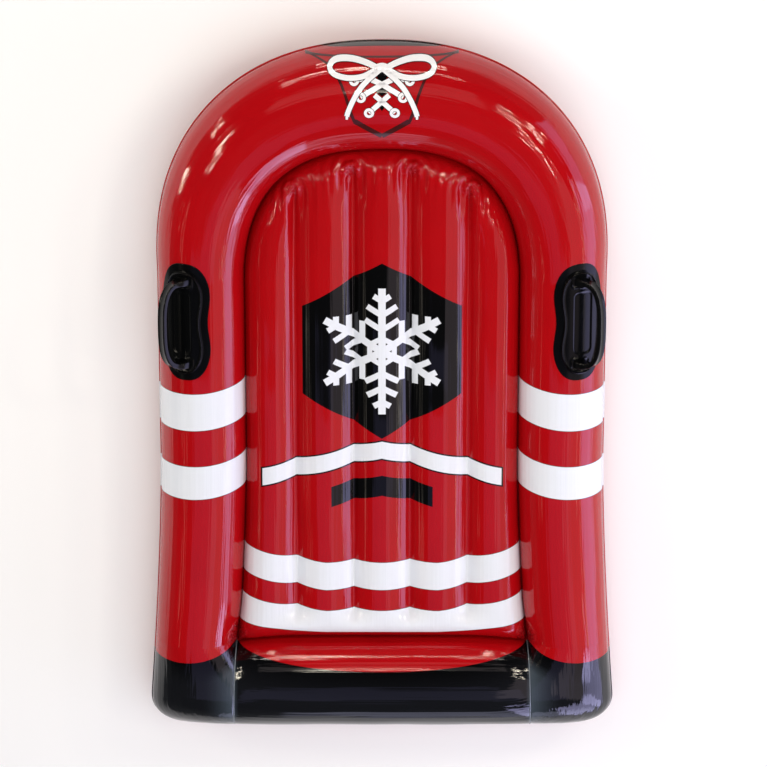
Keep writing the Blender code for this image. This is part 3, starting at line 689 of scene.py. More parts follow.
# Floor film: two sheets held together along four seams, so that five channels stand up between them.
# The flat double layer carries how far each point is from the edges, and the nodes blow it up.
floor = {"crest": 0.042, "valley": 0.020, "innerSeam": 0.050, "outerSeam": 0.152,
         "shoulder": 0.0475, "rearShoulder": 0.032, "frontTight": 1.05, "tightBy": 0.400,
         "frontFade": (0.010, 0.044), "rearFade": (0.028, 0.060), "fadeX": 0.19,
         "innerSteps": 20, "middleSteps": 38, "outerSteps": 28, "least": 0.012, "leastClimb": 0.02,
         "sideRows": 122, "archRows": 96, "rearSteps": 120, "joined": 0.000002,
         "waves": {"seed": 21, "waves": 20, "wavelength": 0.13, "height": 0.0005},
         "streaks": {"seed": 31, "waves": 14, "width": 0.022, "length": 0.50, "height": 0.00008},
         "seamEnds": [(0.054, 0.412), (0.157, 0.378)], "foldCalm": (0.001, 0.012),
         "cornerShare": 0.7, "cornerCalm": (0.0, 0.006)}


def floorAcross(width):
    # Columns stay on the seams, and close up as the floor narrows towards the tip
    zones = [floor["innerSeam"], floor["outerSeam"] - floor["innerSeam"], 1.0]
    zones[2] = max(floor["least"], width - floor["outerSeam"])
    zones[1] = min(zones[1], max(floor["least"], width - zones[0] - zones[2]))
    zones[0] = max(0.0, width - zones[1] - zones[2])
    if zones[0] < floor["least"] * 2:
        zones = [width * share for share in (0.5, 0.25, 0.25)]
    inner = np.linspace(0.0, zones[0], floor["innerSteps"] + 1)
    middle = zones[0] + np.linspace(0.0, zones[1], floor["middleSteps"] + 1)[1:]
    crowded = np.sin(np.linspace(0.0, math.pi / 2, floor["outerSteps"] + 1)[1:])
    outer = zones[0] + zones[1] + zones[2] * crowded
    return np.concatenate([inner, middle, outer])


def floorGrid():
    rows = []
    for y in np.linspace(innerCornerY, ring["archStart"], floor["sideRows"]):
        edge = sideRow(y, 1.0, 2)[-1]
        across = floorAcross(edge[0])
        back = (y - edge[1]) * (across / edge[0]) ** ring["pinchPower"]
        rows.append(np.stack([across, y - back], axis=1))
    for turn in archTurns(floor["archRows"])[1:]:
        edge = archRow(turn, 1.0, 2)[-1]
        across = floorAcross(max(edge[0], 1e-5))
        rows.append(np.stack([across, np.full(len(across), edge[1])], axis=1))
    half = np.array(rows)
    return np.concatenate([half[:, :0:-1] * mirror[:2], half], axis=1)


def distanceToLine(places, line):
    # Shortest distance in plan from each place to a polyline
    best = np.full(len(places), 1e9)
    for start, end in zip(line[:-1], line[1:]):
        run = end - start
        share = np.clip(((places - start) @ run) / (run @ run), 0.0, 1.0)
        best = np.minimum(best, np.linalg.norm(places - start - share[:, None] * run, axis=1))
    return best


def floorPlaces(spots):
    return np.column_stack([spots[:, 1], spots[:, 0], spots[:, 2] - equatorHeight(spots[:, 1])])


grid = floorGrid()
rowCount, columnCount = grid.shape[:2]
places = grid.reshape(-1, 2)
rightPlaces = np.stack([np.abs(places[:, 0]), places[:, 1]], axis=1)
sideDistance = distanceToLine(rightPlaces, innerLine())
rearPlaces = np.array([(weldEdgeX(0.0) * share, pinchedY(0.0, share))
                       for share in np.linspace(0.0, 1.0, floor["rearSteps"])])
rearDistance = distanceToLine(rightPlaces, rearPlaces)
# The outline lies on the weld itself, so that both sheets close there
sideDistance.reshape(rowCount, columnCount)[:, [0, -1]] = 0.0
sideDistance.reshape(rowCount, columnCount)[-1] = 0.0
rearDistance.reshape(rowCount, columnCount)[0] = 0.0
# The seams fade out before the rear weld, and the middle ones before the nose
atNose = (rightPlaces[:, 0] < floor["fadeX"]) & (rightPlaces[:, 1] >= ring["archStart"])
frontFade = np.where(atNose, ease(sideDistance, *floor["frontFade"]), 1.0)
# Behind the nose the sheets part close to the weld, and keep an air passage in front of the seams
tight = 1.0 + (floor["frontTight"] - 1.0) * ease(rightPlaces[:, 1], ring["archStart"], floor["tightBy"])
middle = equatorHeight(places[:, 1])
vertices = np.tile(np.column_stack([places, middle]), (2, 1))
faces = gridFaces(rowCount, columnCount)
faces += [tuple(len(places) + corner for corner in reversed(face)) for face in faces]

floorMesh = bpy.data.meshes.new("floorFilm")
floorMesh.from_pydata(vertices.tolist(), [], faces)
floorLayers = {"sideDistance": sideDistance, "tightDistance": sideDistance * tight,
               "rearDistance": rearDistance, "seamFade": frontFade * ease(rearDistance, *floor["rearFade"])}
floorLayers = {name: np.tile(values, 2) for name, values in floorLayers.items()}
floorLayers["layer"] = np.repeat([1.0, -1.0], len(places))
for name, values in floorLayers.items():
    floorMesh.attributes.new(name, "FLOAT", "POINT").data.foreach_set("value", values)
floorFilm = linked("floorFilm", floorMesh)


def nodeTree(name, inputs):
    # An empty geometry tree with its input sockets
    tree = bpy.data.node_groups.new(name, "GeometryNodeTree")
    tree.interface.new_socket("Geometry", in_out="INPUT", socket_type="NodeSocketGeometry")
    tree.interface.new_socket("Geometry", in_out="OUTPUT", socket_type="NodeSocketGeometry")
    for socketName, kind in inputs.items():
        tree.interface.new_socket(socketName, in_out="INPUT", socket_type="NodeSocket" + kind)
    source = tree.nodes.new("NodeGroupInput")
    return tree, source.outputs


def endTree(tree, geometry, material):
    # Every tree ends in real geometry with its material
    realized = addNode(tree, "GeometryNodeRealizeInstances", {}, geometry)
    painted = addNode(tree, "GeometryNodeSetMaterial", {"Material": material}, realized)
    output = tree.nodes.new("NodeGroupOutput")
    tree.links.new(painted, output.inputs[0])


def runTree(piece, tree, values):
    # Sets the inputs by identifier, evaluates once and keeps the plain mesh
    modifier = piece.modifiers.new(tree.name, "NODES")
    modifier.node_group = tree
    sockets = {item.name: item.identifier for item in tree.interface.items_tree if item.in_out == "INPUT"}
    for name, value in values.items():
        modifier[sockets[name]] = value
    piece.update_tag()
    bpy.context.view_layer.update()
    keepEvaluated(piece)


def floorTree():
    tree, given = nodeTree("blowUpChannels", {
        "Crest": "Float", "Valley": "Float", "Inner Seam": "Float", "Outer Seam": "Float",
        "Shoulder": "Float", "Rear Shoulder": "Float", "Vinyl": "Material"})
    made = {socket.name: socket for socket in given if socket.type == "VALUE"}
    for name in ("sideDistance", "tightDistance", "rearDistance", "seamFade", "layer"):
        made[name] = addNode(tree, "GeometryNodeInputNamedAttribute", {"data_type": "FLOAT", "Name": name})
    position = addNode(tree, "GeometryNodeInputPosition", {})
    made["x"] = addNode(tree, "ShaderNodeSeparateXYZ", {}, position)
    steps = [
        ("across", "ABSOLUTE", "x"),
        ("rise", "SUBTRACT", "Crest", "Valley"),
        # The middle channel: a parabola between the two inner seams
        ("innerShare", "DIVIDE", "across", "Inner Seam"),
        ("innerSquare", "MULTIPLY", "innerShare", "innerShare"),
        # The channels beside it
        ("span", "SUBTRACT", "Outer Seam", "Inner Seam"),
        ("halfSpan", "MULTIPLY", "span", 0.5),
        ("centre", "ADD", "Inner Seam", "halfSpan"),
        ("offCentre", "SUBTRACT", "across", "centre"),
        ("middleShare", "DIVIDE", "offCentre", "halfSpan"),
        ("middleSquare", "MULTIPLY", "middleShare", "middleShare"),
        # The outer channels climb from the seam and stay level from their crest to the shoulder
        ("pastSeam", "SUBTRACT", "across", "Outer Seam"),
        ("toEdge", "ADD", "pastSeam", "sideDistance"),
        ("toShoulder", "SUBTRACT", "toEdge", "Shoulder"),
        ("climbWidth", "MAXIMUM", "toShoulder", floor["leastClimb"]),
        ("climb", "DIVIDE", "pastSeam", "climbWidth"),
        ("climbed", "MINIMUM", "climb", 1.0),
        ("left", "SUBTRACT", 1.0, "climbed"),
        ("outerSquare", "MULTIPLY", "left", "left"),
        # Whichever channel the point is in
        ("pastInner", "GREATER_THAN", "across", "Inner Seam"),
        ("pastOuter", "GREATER_THAN", "across", "Outer Seam"),
        ("outerStep", "SUBTRACT", "outerSquare", "middleSquare"),
        ("fromMiddle", "MULTIPLY_ADD", "pastOuter", "outerStep", "middleSquare"),
        ("innerStep", "SUBTRACT", "fromMiddle", "innerSquare"),
        ("square", "MULTIPLY_ADD", "pastInner", "innerStep", "innerSquare"),
        ("dip", "MULTIPLY", "square", "rise"),
        ("fadedDip", "MULTIPLY", "dip", "seamFade"),
        ("plain", "SUBTRACT", "Crest", "fadedDip"),
    ]
    # The round edges
    for side, run, width in (("side", "tightDistance", "Shoulder"),
                             ("rear", "rearDistance", "Rear Shoulder")):
        steps += [(side + "Run", "DIVIDE", run, width), (side + "Short", "MINIMUM", side + "Run", 1.0),
                  (side + "Left", "SUBTRACT", 1.0, side + "Short"),
                  (side + "Power", "MULTIPLY", side + "Left", side + "Left"),
                  (side + "Rest", "SUBTRACT", 1.0, side + "Power"), (side + "Round", "SQRT", side + "Rest")]
    steps += [("rounded", "MULTIPLY", "sideRound", "rearRound"), ("height", "MULTIPLY", "plain", "rounded"),
              ("lift", "MULTIPLY", "height", "layer")]
    for name, operation, *values in steps:
        values = [made.get(value, value) for value in values]
        made[name] = addNode(tree, "ShaderNodeMath", {"operation": operation}, *values)
    offset = addNode(tree, "ShaderNodeCombineXYZ", {}, 0.0, 0.0, made["lift"])
    blown = addNode(tree, "GeometryNodeSetPosition", {"Offset": offset}, given["Geometry"])
    merged = addNode(tree, "GeometryNodeMergeByDistance", {"Distance": floor["joined"]}, blown)
    endTree(tree, merged, given["Vinyl"])
    return tree


runTree(floorFilm, floorTree(), {
    "Crest": floor["crest"], "Valley": floor["valley"], "Inner Seam": floor["innerSeam"],
    "Outer Seam": floor["outerSeam"], "Shoulder": floor["shoulder"],
    "Rear Shoulder": floor["rearShoulder"], "Vinyl": floorVinyl})
cleanMesh(floorFilm.data, needles=1e-7)
spots = readPoints(floorFilm.data)
places = floorPlaces(spots)
writePlaces(floorFilm.data, places)
sideRun, rearRun = (readLayer(floorFilm.data.attributes[name].data, "value", 1)
                    for name in ("sideDistance", "rearDistance"))
calm = ease(sideRun, *weldCalm) * ease(rearRun, *weldCalm)
lifts = calm * (filmWaves(spots, floor["waves"]) + filmStreaks(places, floor["streaks"]))
for x, y in floor["seamEnds"]:
    for end in ((-x, y), (x, y)):
        folds = fanCreases(spots, end, seamPuckers, math.pi / 2) + archedFolds(spots, end, seamFolds)
        lifts += ease(sideRun, *floor["foldCalm"]) * folds
share = floor["cornerShare"] * ease(sideRun, *floor["cornerCalm"]) * ease(rearRun, *floor["cornerCalm"])
swell(floorFilm, lifts + share * mirroredCreases(spots))
print("floorFilm:", len(floorFilm.data.vertices), "points")

# The four webs inside the floor follow the seams just below the film
webs = {"wall": 0.0006, "clearance": 0.0015, "steps": 60, "rearGap": 0.052, "frontGap": 0.056}
seamXs = (-floor["outerSeam"], -floor["innerSeam"], floor["innerSeam"], floor["outerSeam"])


def noseWeldY(x):
    # Where a line down the floor at x meets the weld behind the nose
    line = innerLine()
    frontLine = line[line[:, 1] > ring["archStart"]][::-1]
    return float(np.interp(abs(x), frontLine[:, 0], frontLine[:, 1]))


def webPiece(name, x):
    reach = floor["valley"] - webs["clearance"]
    vertices = []
    for y in np.linspace(innerCornerY + webs["rearGap"], noseWeldY(x) - webs["frontGap"], webs["steps"] + 1):
        middle = equatorHeight(y)
        for dx, dz in ((-1, -1), (1, -1), (1, 1), (-1, 1)):
            vertices.append((x + dx * webs["wall"] / 2, y, middle + dz * reach))
    faces = gridFaces(webs["steps"] + 1, 4, closed=True)
    faces += [(3, 2, 1, 0), tuple(4 * webs["steps"] + i for i in range(4))]
    return meshPiece(name, vertices, faces, [webVinyl], smoothAngle=30)


webPieces = [webPiece("floorWeb" + str(number), x) for number, x in enumerate(seamXs, start=1)]

# Welds: raised beads along lines on the film
beads = {
    "rim": {"width": 0.0030, "height": 0.0010},
    "innerRim": {"width": 0.0022, "height": 0.0022},
    "corner": {"width": 0.0024, "height": 0.0024},
    "channel": {"width": 0.0032, "height": 0.0009},
    "step": 0.004, "lowest": 0.0007, "proud": 0.0002, "rearGap": 0.066, "frontGap": 0.026,
    # Points along the rear corner, the side, the nose, the bolster, the corner weld and the channel
    "cornerSteps": 60, "sideSteps": 90, "noseSteps": 110,
    "rearSteps": 80, "endSteps": 70, "channelSteps": 120, "turns": 10,
}


def pathPiece(name, paths, halfWidths=None):
    # Open or closed polylines as loose edges, for the trees that follow a path
    vertices, edges, widths = [], [], []
    for number, (points, closed) in enumerate(paths):
        base = len(vertices)
        vertices += [tuple(map(float, point)) for point in points]
        edges += [(base + i, base + i + 1) for i in range(len(points) - 1)]
        if closed:
            edges.append((len(vertices) - 1, base))
        widths += list(halfWidths[number]) if halfWidths else [1.0] * len(points)
    mesh = bpy.data.meshes.new(name)
    mesh.from_pydata(vertices, edges, [])
    mesh.attributes.new("halfWidth", "FLOAT", "POINT").data.foreach_set("value", widths)
    return linked(name, mesh)


def levelCurve(tree, given):
    # The path as a curve in even steps, whose profile stays level
    line = addNode(tree, "GeometryNodeMeshToCurve", {}, given["Geometry"])
    even = addNode(tree, "GeometryNodeResampleCurve", {"mode": "LENGTH", "Length": given["Step"]}, line)
    return addNode(tree, "GeometryNodeSetCurveNormal", {"mode": "Z_UP"}, even)


def beadTree():
    tree, given = nodeTree("weldBead", {
        "Width": "Float", "Height": "Float", "Step": "Float", "Vinyl": "Material"})
    level = levelCurve(tree, given)
    ringProfile = addNode(tree, "GeometryNodeCurvePrimitiveCircle", {
        "Resolution": beads["turns"], "Radius": 0.5})
    size = addNode(tree, "ShaderNodeCombineXYZ", {}, given["Width"], given["Height"], 1.0)
    profile = addNode(tree, "GeometryNodeTransform", {"Scale": size}, ringProfile)
    bead = addNode(tree, "GeometryNodeCurveToMesh", {"Fill Caps": True}, level, profile)
    endTree(tree, bead, given["Vinyl"])
    return tree


beadNodes = beadTree()


def beadPiece(name, paths, size, material):
    piece = pathPiece(name, paths)
    runTree(piece, beadNodes, {"Width": size["width"], "Height": size["height"], "Step": beads["step"],
                               "Vinyl": material})
    cleanMesh(piece.data)
    return piece


def bolsterSpot(share, turn):
    y = pinchedY(turn, abs(share))
    return (share * weldEdgeX(turn), y, equatorHeight(y))


def wholePath(side, turn):
    # Joins the right half of a line and its mirror image by a line along the bolster
    rear = np.array([bolsterSpot(share, turn) for share in np.linspace(-1.0, 1.0, beads["rearSteps"])])[1:-1]
    return np.concatenate([side, (side[:-1] * mirror)[::-1], rear])


def outerPath():
    # Round the widest line of the whole sled
    side = [endRow(turn, 1.0, 2)[0] for turn in np.linspace(math.pi, 0.0, beads["cornerSteps"])]
    straight = np.linspace(innerCornerY, ring["archStart"], beads["sideSteps"])[1:]
    side += [sideRow(y, 1.0, 2)[0] for y in straight]
    side += [archRow(turn, 1.0, 2)[0] for turn in archTurns(beads["noseSteps"])[1:]]
    return wholePath(np.array(side), math.pi)


def innerPath():
    line = innerLine()
    return wholePath(np.column_stack([line, equatorHeight(line[:, 1])]), 0.0)


def cornerPath(hand, side):
    # Over the top, or under the bottom, of the bolster's end
    points = []
    for turn in np.linspace(0.0, math.pi, beads["endSteps"]):
        y = pinchedY(turn, 1.0)
        height = ring["bolsterRadius"] * ring["bolsterPinch"] * max(0.0, math.sin(turn))
        points.append((hand * weldEdgeX(turn), y, max(beads["lowest"], equatorHeight(y) + side * height)))
    return points


def seamPath(x, side):
    # Along the bottom of a valley, to where the channels run together
    ends = innerCornerY + beads["rearGap"], noseWeldY(x) - beads["frontGap"]
    return [(x, y, equatorHeight(y) + side * (floor["valley"] + beads["proud"]))
            for y in np.linspace(*ends, beads["channelSteps"])]


weldPieces = [
    beadPiece("rimWeld", [(outerPath(), True)], beads["rim"], rimVinyl),
    beadPiece("innerWeld", [(innerPath(), True)], beads["innerRim"], webVinyl),
    beadPiece("cornerWelds", [(cornerPath(hand, 1.0), False) for hand in (-1.0, 1.0)], beads["corner"],
              hemWeldVinyl),
    beadPiece("lowerCornerWelds", [(cornerPath(hand, -1.0), False) for hand in (-1.0, 1.0)], beads["corner"],
              webVinyl),
    beadPiece("channelWelds", [(seamPath(x, side), False) for side in (1.0, -1.0) for x in seamXs],
              beads["channel"], floorVinyl),
]
print("welds made")

# Printed neck laces on the nose, drawn as strokes that are laid on the film, the lower layers first
neck = {"step": 0.0015, "layer": 0.00009, "skin": 0.00008, "joined": 5e-7, "edgeAngle": 50,
        "above": 0.3, "fallFrom": 0.4, "across": 6,
        "lace": 0.0043, "outline": 0.0011, "eyelet": 0.0062, "circleSteps": 40, "pathSteps": 14}


def smoothPath(points):
    # A Catmull-Rom line through points in plan
    points = [np.array(point, dtype=float) for point in points]
    points = [2 * points[0] - points[1]] + points + [2 * points[-1] - points[-2]]
    made = []
    for a, b, c, d in zip(points, points[1:], points[2:], points[3:]):
        for t in np.linspace(0.0, 1.0, neck["pathSteps"], endpoint=False):
            made.append(0.5 * (2 * b + (c - a) * t + (2 * a - 5 * b + 4 * c - d) * t * t
                               + (3 * b - a - 3 * c + d) * t ** 3))
    return np.array(made + [points[-2]])


def circlePath(centre):
    return [(centre[0] + neck["eyelet"] * math.cos(angle), centre[1] + neck["eyelet"] * math.sin(angle))
            for angle in np.linspace(0.0, math.tau, neck["circleSteps"], endpoint=False)]


def strokeTree():
    tree, given = nodeTree("printedStroke", {
        "Film": "Object", "Step": "Float", "Lift": "Float", "Ink": "Material"})
    level = levelCurve(tree, given)
    width = addNode(tree, "GeometryNodeInputNamedAttribute", {"data_type": "FLOAT", "Name": "halfWidth"})
    across = addNode(tree, "GeometryNodeCurvePrimitiveLine", {
        "Start": (-1.0, 0.0, 0.0), "End": (1.0, 0.0, 0.0)})
    profile = addNode(tree, "GeometryNodeResampleCurve", {"mode": "COUNT", "Count": neck["across"]}, across)
    ribbon = addNode(tree, "GeometryNodeCurveToMesh", {"Scale": width}, level, profile)
    seen = addNode(tree, "GeometryNodeObjectInfo", {
        "transform_space": "RELATIVE"}, given["Film"]).node.outputs
    place = addNode(tree, "GeometryNodeInputPosition", {})
    # Each point falls straight down on the film, and stays where it hits
    high = addNode(tree, "ShaderNodeVectorMath", {"operation": "MULTIPLY_ADD"}, place,
                   (1.0, 1.0, 0.0), (0.0, 0.0, neck["fallFrom"]))
    ray = addNode(tree, "GeometryNodeRaycast", {
        "Target Geometry": seen["Geometry"], "Source Position": high,
        "Ray Direction": (0.0, 0.0, -1.0), "Ray Length": 1.0}).node.outputs
    proud = addNode(tree, "ShaderNodeVectorMath", {
        "operation": "SCALE", "Scale": given["Lift"]}, ray["Hit Normal"])
    laid = addNode(tree, "ShaderNodeVectorMath", {"operation": "ADD"}, ray["Hit Position"], proud)
    missed = addNode(tree, "FunctionNodeBooleanMath", {"operation": "NOT"}, ray["Is Hit"])
    kept = addNode(tree, "GeometryNodeDeleteGeometry", {"Selection": missed}, ribbon)
    draped = addNode(tree, "GeometryNodeSetPosition", {"Position": laid}, kept)
    endTree(tree, draped, given["Ink"])
    return tree


strokeNodes = strokeTree()


def strokePiece(name, strokes, layer, ink):
    # strokes: (points, half width or half widths, closed, mirrored)
    paths, widths = [], []
    for points, half, closed, mirrored in strokes:
        points = np.asarray(points, dtype=float)
        run = np.linspace(0.0, 1.0, len(points))
        half = np.full(len(points), half) if np.isscalar(half) else np.interp(
            run, np.linspace(0.0, 1.0, len(half)), half)
        for hand in ((1.0, -1.0) if mirrored else (1.0,)):
            spots = np.column_stack([points[:, 0] * hand, points[:, 1], np.full(len(points), neck["above"])])
            paths.append((spots, closed))
            widths.append(half)
    piece = pathPiece(name, paths, widths)
    runTree(piece, strokeNodes, {
        "Film": ringFilm, "Step": neck["step"], "Lift": neck["layer"] * layer, "Ink": ink})
    thick = piece.modifiers.new("skin", "SOLIDIFY")
    thick.thickness = neck["skin"]
    thick.offset = 1.0
    made = keepEvaluated(piece)
    cleanMesh(made, neck["joined"])
    made.set_sharp_from_angle(angle=math.radians(neck["edgeAngle"]))
    return piece


vSide = [(0.1240, 0.6185), (0.1060, 0.6135), (0.0890, 0.6045), (0.0740, 0.5860), (0.0640, 0.5640),
         (0.0588, 0.5480), (0.0530, 0.5300), (0.0470, 0.5135)]
bar = [(x, 0.6187) for x in np.linspace(-0.1320, 0.1320, 60)]
loop = smoothPath([(0.004, 0.6015), (0.026, 0.6105), (0.052, 0.6160), (0.078, 0.6145), (0.0890, 0.6050),
                   (0.0820, 0.5935), (0.0600, 0.5880), (0.036, 0.5895), (0.018, 0.5965), (0.004, 0.6040)])
hanging = smoothPath([(0.003, 0.6010), (0.014, 0.5930), (0.026, 0.5830), (0.038, 0.5700), (0.049, 0.5520),
                      (0.057, 0.5340), (0.0601, 0.5240)])
aglet = [(0.0596, 0.5262), (0.0601, 0.5185)]
eyelets = [(0.0475, 0.5840), (0.0360, 0.5565), (0.0220, 0.5300)]
crossings = [
    smoothPath([(0.0475, 0.5840), (0.030, 0.5885), (0.012, 0.5960), (0.0, 0.6010)]),
    smoothPath([(0.0360, 0.5565), (0.025, 0.5640), (0.012, 0.5715), (0.0, 0.5780), (-0.016, 0.5850),
                (-0.032, 0.5905)]),
    smoothPath([(0.0220, 0.5300), (0.0125, 0.5390), (0.0, 0.5500), (-0.0125, 0.5610)]),
]
# Each diamond: the y of its middle, its half length and its half width
diamonds = [(0.5900, 0.0085, 0.0100), (0.5680, 0.0095, 0.0120), (0.5430, 0.0095, 0.0064)]
knot = smoothPath([(-0.009, 0.6035), (0.0, 0.6055), (0.009, 0.6035)])
lace, shadow = neck["lace"], neck["lace"] + neck["outline"]
neckStrokes = {
    "neckLine": (lineInk, [
        (smoothPath(vSide), [0.0008, 0.0022, 0.0026, 0.0028], False, True),
        ([(0.0470, 0.5150), (0.0, 0.4850)], 0.0046, False, True), (bar, 0.0013, False, False)]),
    "neckDiamonds": (blackInk, [([(0.0, y + share * tall) for share in np.linspace(1.0, -1.0, 21)],
                                 [0.0, half, 0.0], False, False) for y, tall, half in diamonds]),
    "laceShadowLow": (shadowInk, [(path, shadow, False, True) for path in crossings]),
    "laceLow": (whiteInk, [(path, lace, False, True) for path in crossings]),
    "eyeletShadow": (shadowInk, [(circlePath(spot), 0.0033, True, True) for spot in eyelets]),
    "eyeletRings": (whiteInk, [(circlePath(spot), 0.0025, True, True) for spot in eyelets]),
    "laceShadowHigh": (shadowInk, [(loop, shadow, False, True), (hanging, shadow, False, True),
                                   (aglet, 0.0030, False, True)]),
    "laceHigh": (whiteInk, [(loop, lace, False, True), (hanging, lace, False, True),
                            (aglet, 0.0021, False, True)]),
    "laceKnot": (whiteInk, [(knot, 0.0048, False, False)]),
}
neckPieces = [strokePiece(name, strokes, layer, ink) for layer, (name, (ink, strokes)) in
              enumerate(neckStrokes.items(), start=1)]
print("neck laces made")

# Handles: a bean-shaped patch welded to the tube, a moulded base with a bead, and a strap-like grip
handle = {
    "y": 0.1480, "turn": math.radians(21.0), "length": 0.2115, "width": 0.1015,
    "waist": 0.0095, "waistSpread": 0.042, "power": 2.6, "patchLow": 0.0002, "patchTop": 0.0017,
    "baseInset": 0.0122, "baseLow": 0.0019, "baseTop": 0.0046,
    "beadTop": 0.0090, "dish": 0.0050, "well": 0.0032,
    "wellCentre": (-0.0045, 0.0), "wellHalf": (0.0175, 0.0570), "wellRound": 0.011,
    "wellEdge": (-0.0035, 0.0005),
    "collarHalf": (0.0150, 0.0098), "collarRound": 0.0035, "collarHeight": 0.0016, "collarLine": 0.0005,
    "collarEdge": (0.0004, 0.0018), "scales": [0.06, 0.3, 0.55, 0.75, 0.9, 1.0], "dishSteps": 46,
    "gripReach": 0.0440, "gripHalfLength": 0.0750, "gripLean": math.radians(51.5), "gripPower": 3.0,
    "gripWidth": 0.0175, "gripThickness": 0.0095, "footFlare": 0.35, "flareBy": 0.45,
    "rim": 0.0009, "rimEdge": (0.60, 0.85), "gripRound": (0.34, 0.28), "gripSink": 0.0004, "gripRoot": 0.0013,
    "turns": 176, "gripSteps": 96, "gripTurns": 36,
}


def sectionAt(y):
    if y <= ring["archStart"]:
        return ring["centreX"] + float(flare(y)), y, Vector((1.0, 0.0)), ring["tubeRadius"]
    share = (y - ring["archStart"]) / ring["archDepth"]
    return archPoint(math.asin(share ** (ring["archPower"] / 2)))


def handlePoint(along, across, lift, hand):
    x, y, outward, radius = sectionAt(handle["y"] + along)
    angle = math.pi / 2 - handle["turn"] + across / ring["tubeRadius"]
    reach = (radius + lift) * math.cos(angle)
    return (hand * (x + outward.x * reach), y + outward.y * reach,
            equatorHeight(y) + (radius + lift) * math.sin(angle))


def beanOutline(inset):
    halfLength = handle["length"] / 2 - inset
    halfWidth = handle["width"] / 2 - inset
    angles = np.linspace(0.0, math.tau, handle["turns"], endpoint=False)
    cosine, sine = np.cos(angles), np.sin(angles)
    along = np.copysign(np.abs(cosine) ** (2.0 / handle["power"]), cosine) * halfLength
    across = np.copysign(np.abs(sine) ** (2.0 / handle["power"]), sine) * halfWidth
    waist = handle["waist"] * np.exp(-(along / handle["waistSpread"]) ** 2) * across / halfWidth
    return np.stack([along, across - np.where(across > 0.0, waist, 0.0)], axis=1)


def beanPiece(name, hand, levels, liftAt=None):
    # Closed piece from rings of (inset, scale, lift), first the underside and then the top
    vertices = []
    turns = handle["turns"]
    for inset, scale, lift in levels:
        for along, across in beanOutline(inset) * scale:
            extra = liftAt(along, across) if liftAt and lift is None else 0.0
            vertices.append(handlePoint(along, across, extra if lift is None else lift, hand))
    faces = gridFaces(len(levels), turns, closed=True)
    faces += [tuple(range(turns))[::-1], tuple((len(levels) - 1) * turns + i for i in range(turns))]
    return meshPiece(name, vertices, faces, [mouldedVinyl], smoothAngle=40)


def roundedBox(along, across, centre, half, radius):
    # Signed distance to a rounded rectangle on the handle
    dx = abs(across - centre[0]) - half[0] + radius
    dy = abs(along - centre[1]) - half[1] + radius
    return math.hypot(max(dx, 0.0), max(dy, 0.0)) + min(max(dx, dy), 0.0) - radius


def baseLift(along, across):
    # A flat well behind the grip, and a low collar round each foot
    well = roundedBox(along, across, handle["wellCentre"], handle["wellHalf"], handle["wellRound"])
    lift = handle["dish"] - (handle["dish"] - handle["well"]) * (1.0 - float(ease(well, *handle["wellEdge"])))
    for end in (-1.0, 1.0):
        spot = (0.0, end * handle["gripHalfLength"])
        collar = roundedBox(along, across, spot, handle["collarHalf"], handle["collarRound"])
        away = abs(collar - handle["collarLine"])
        lift += handle["collarHeight"] * (1.0 - float(ease(away, *handle["collarEdge"])))
    return lift


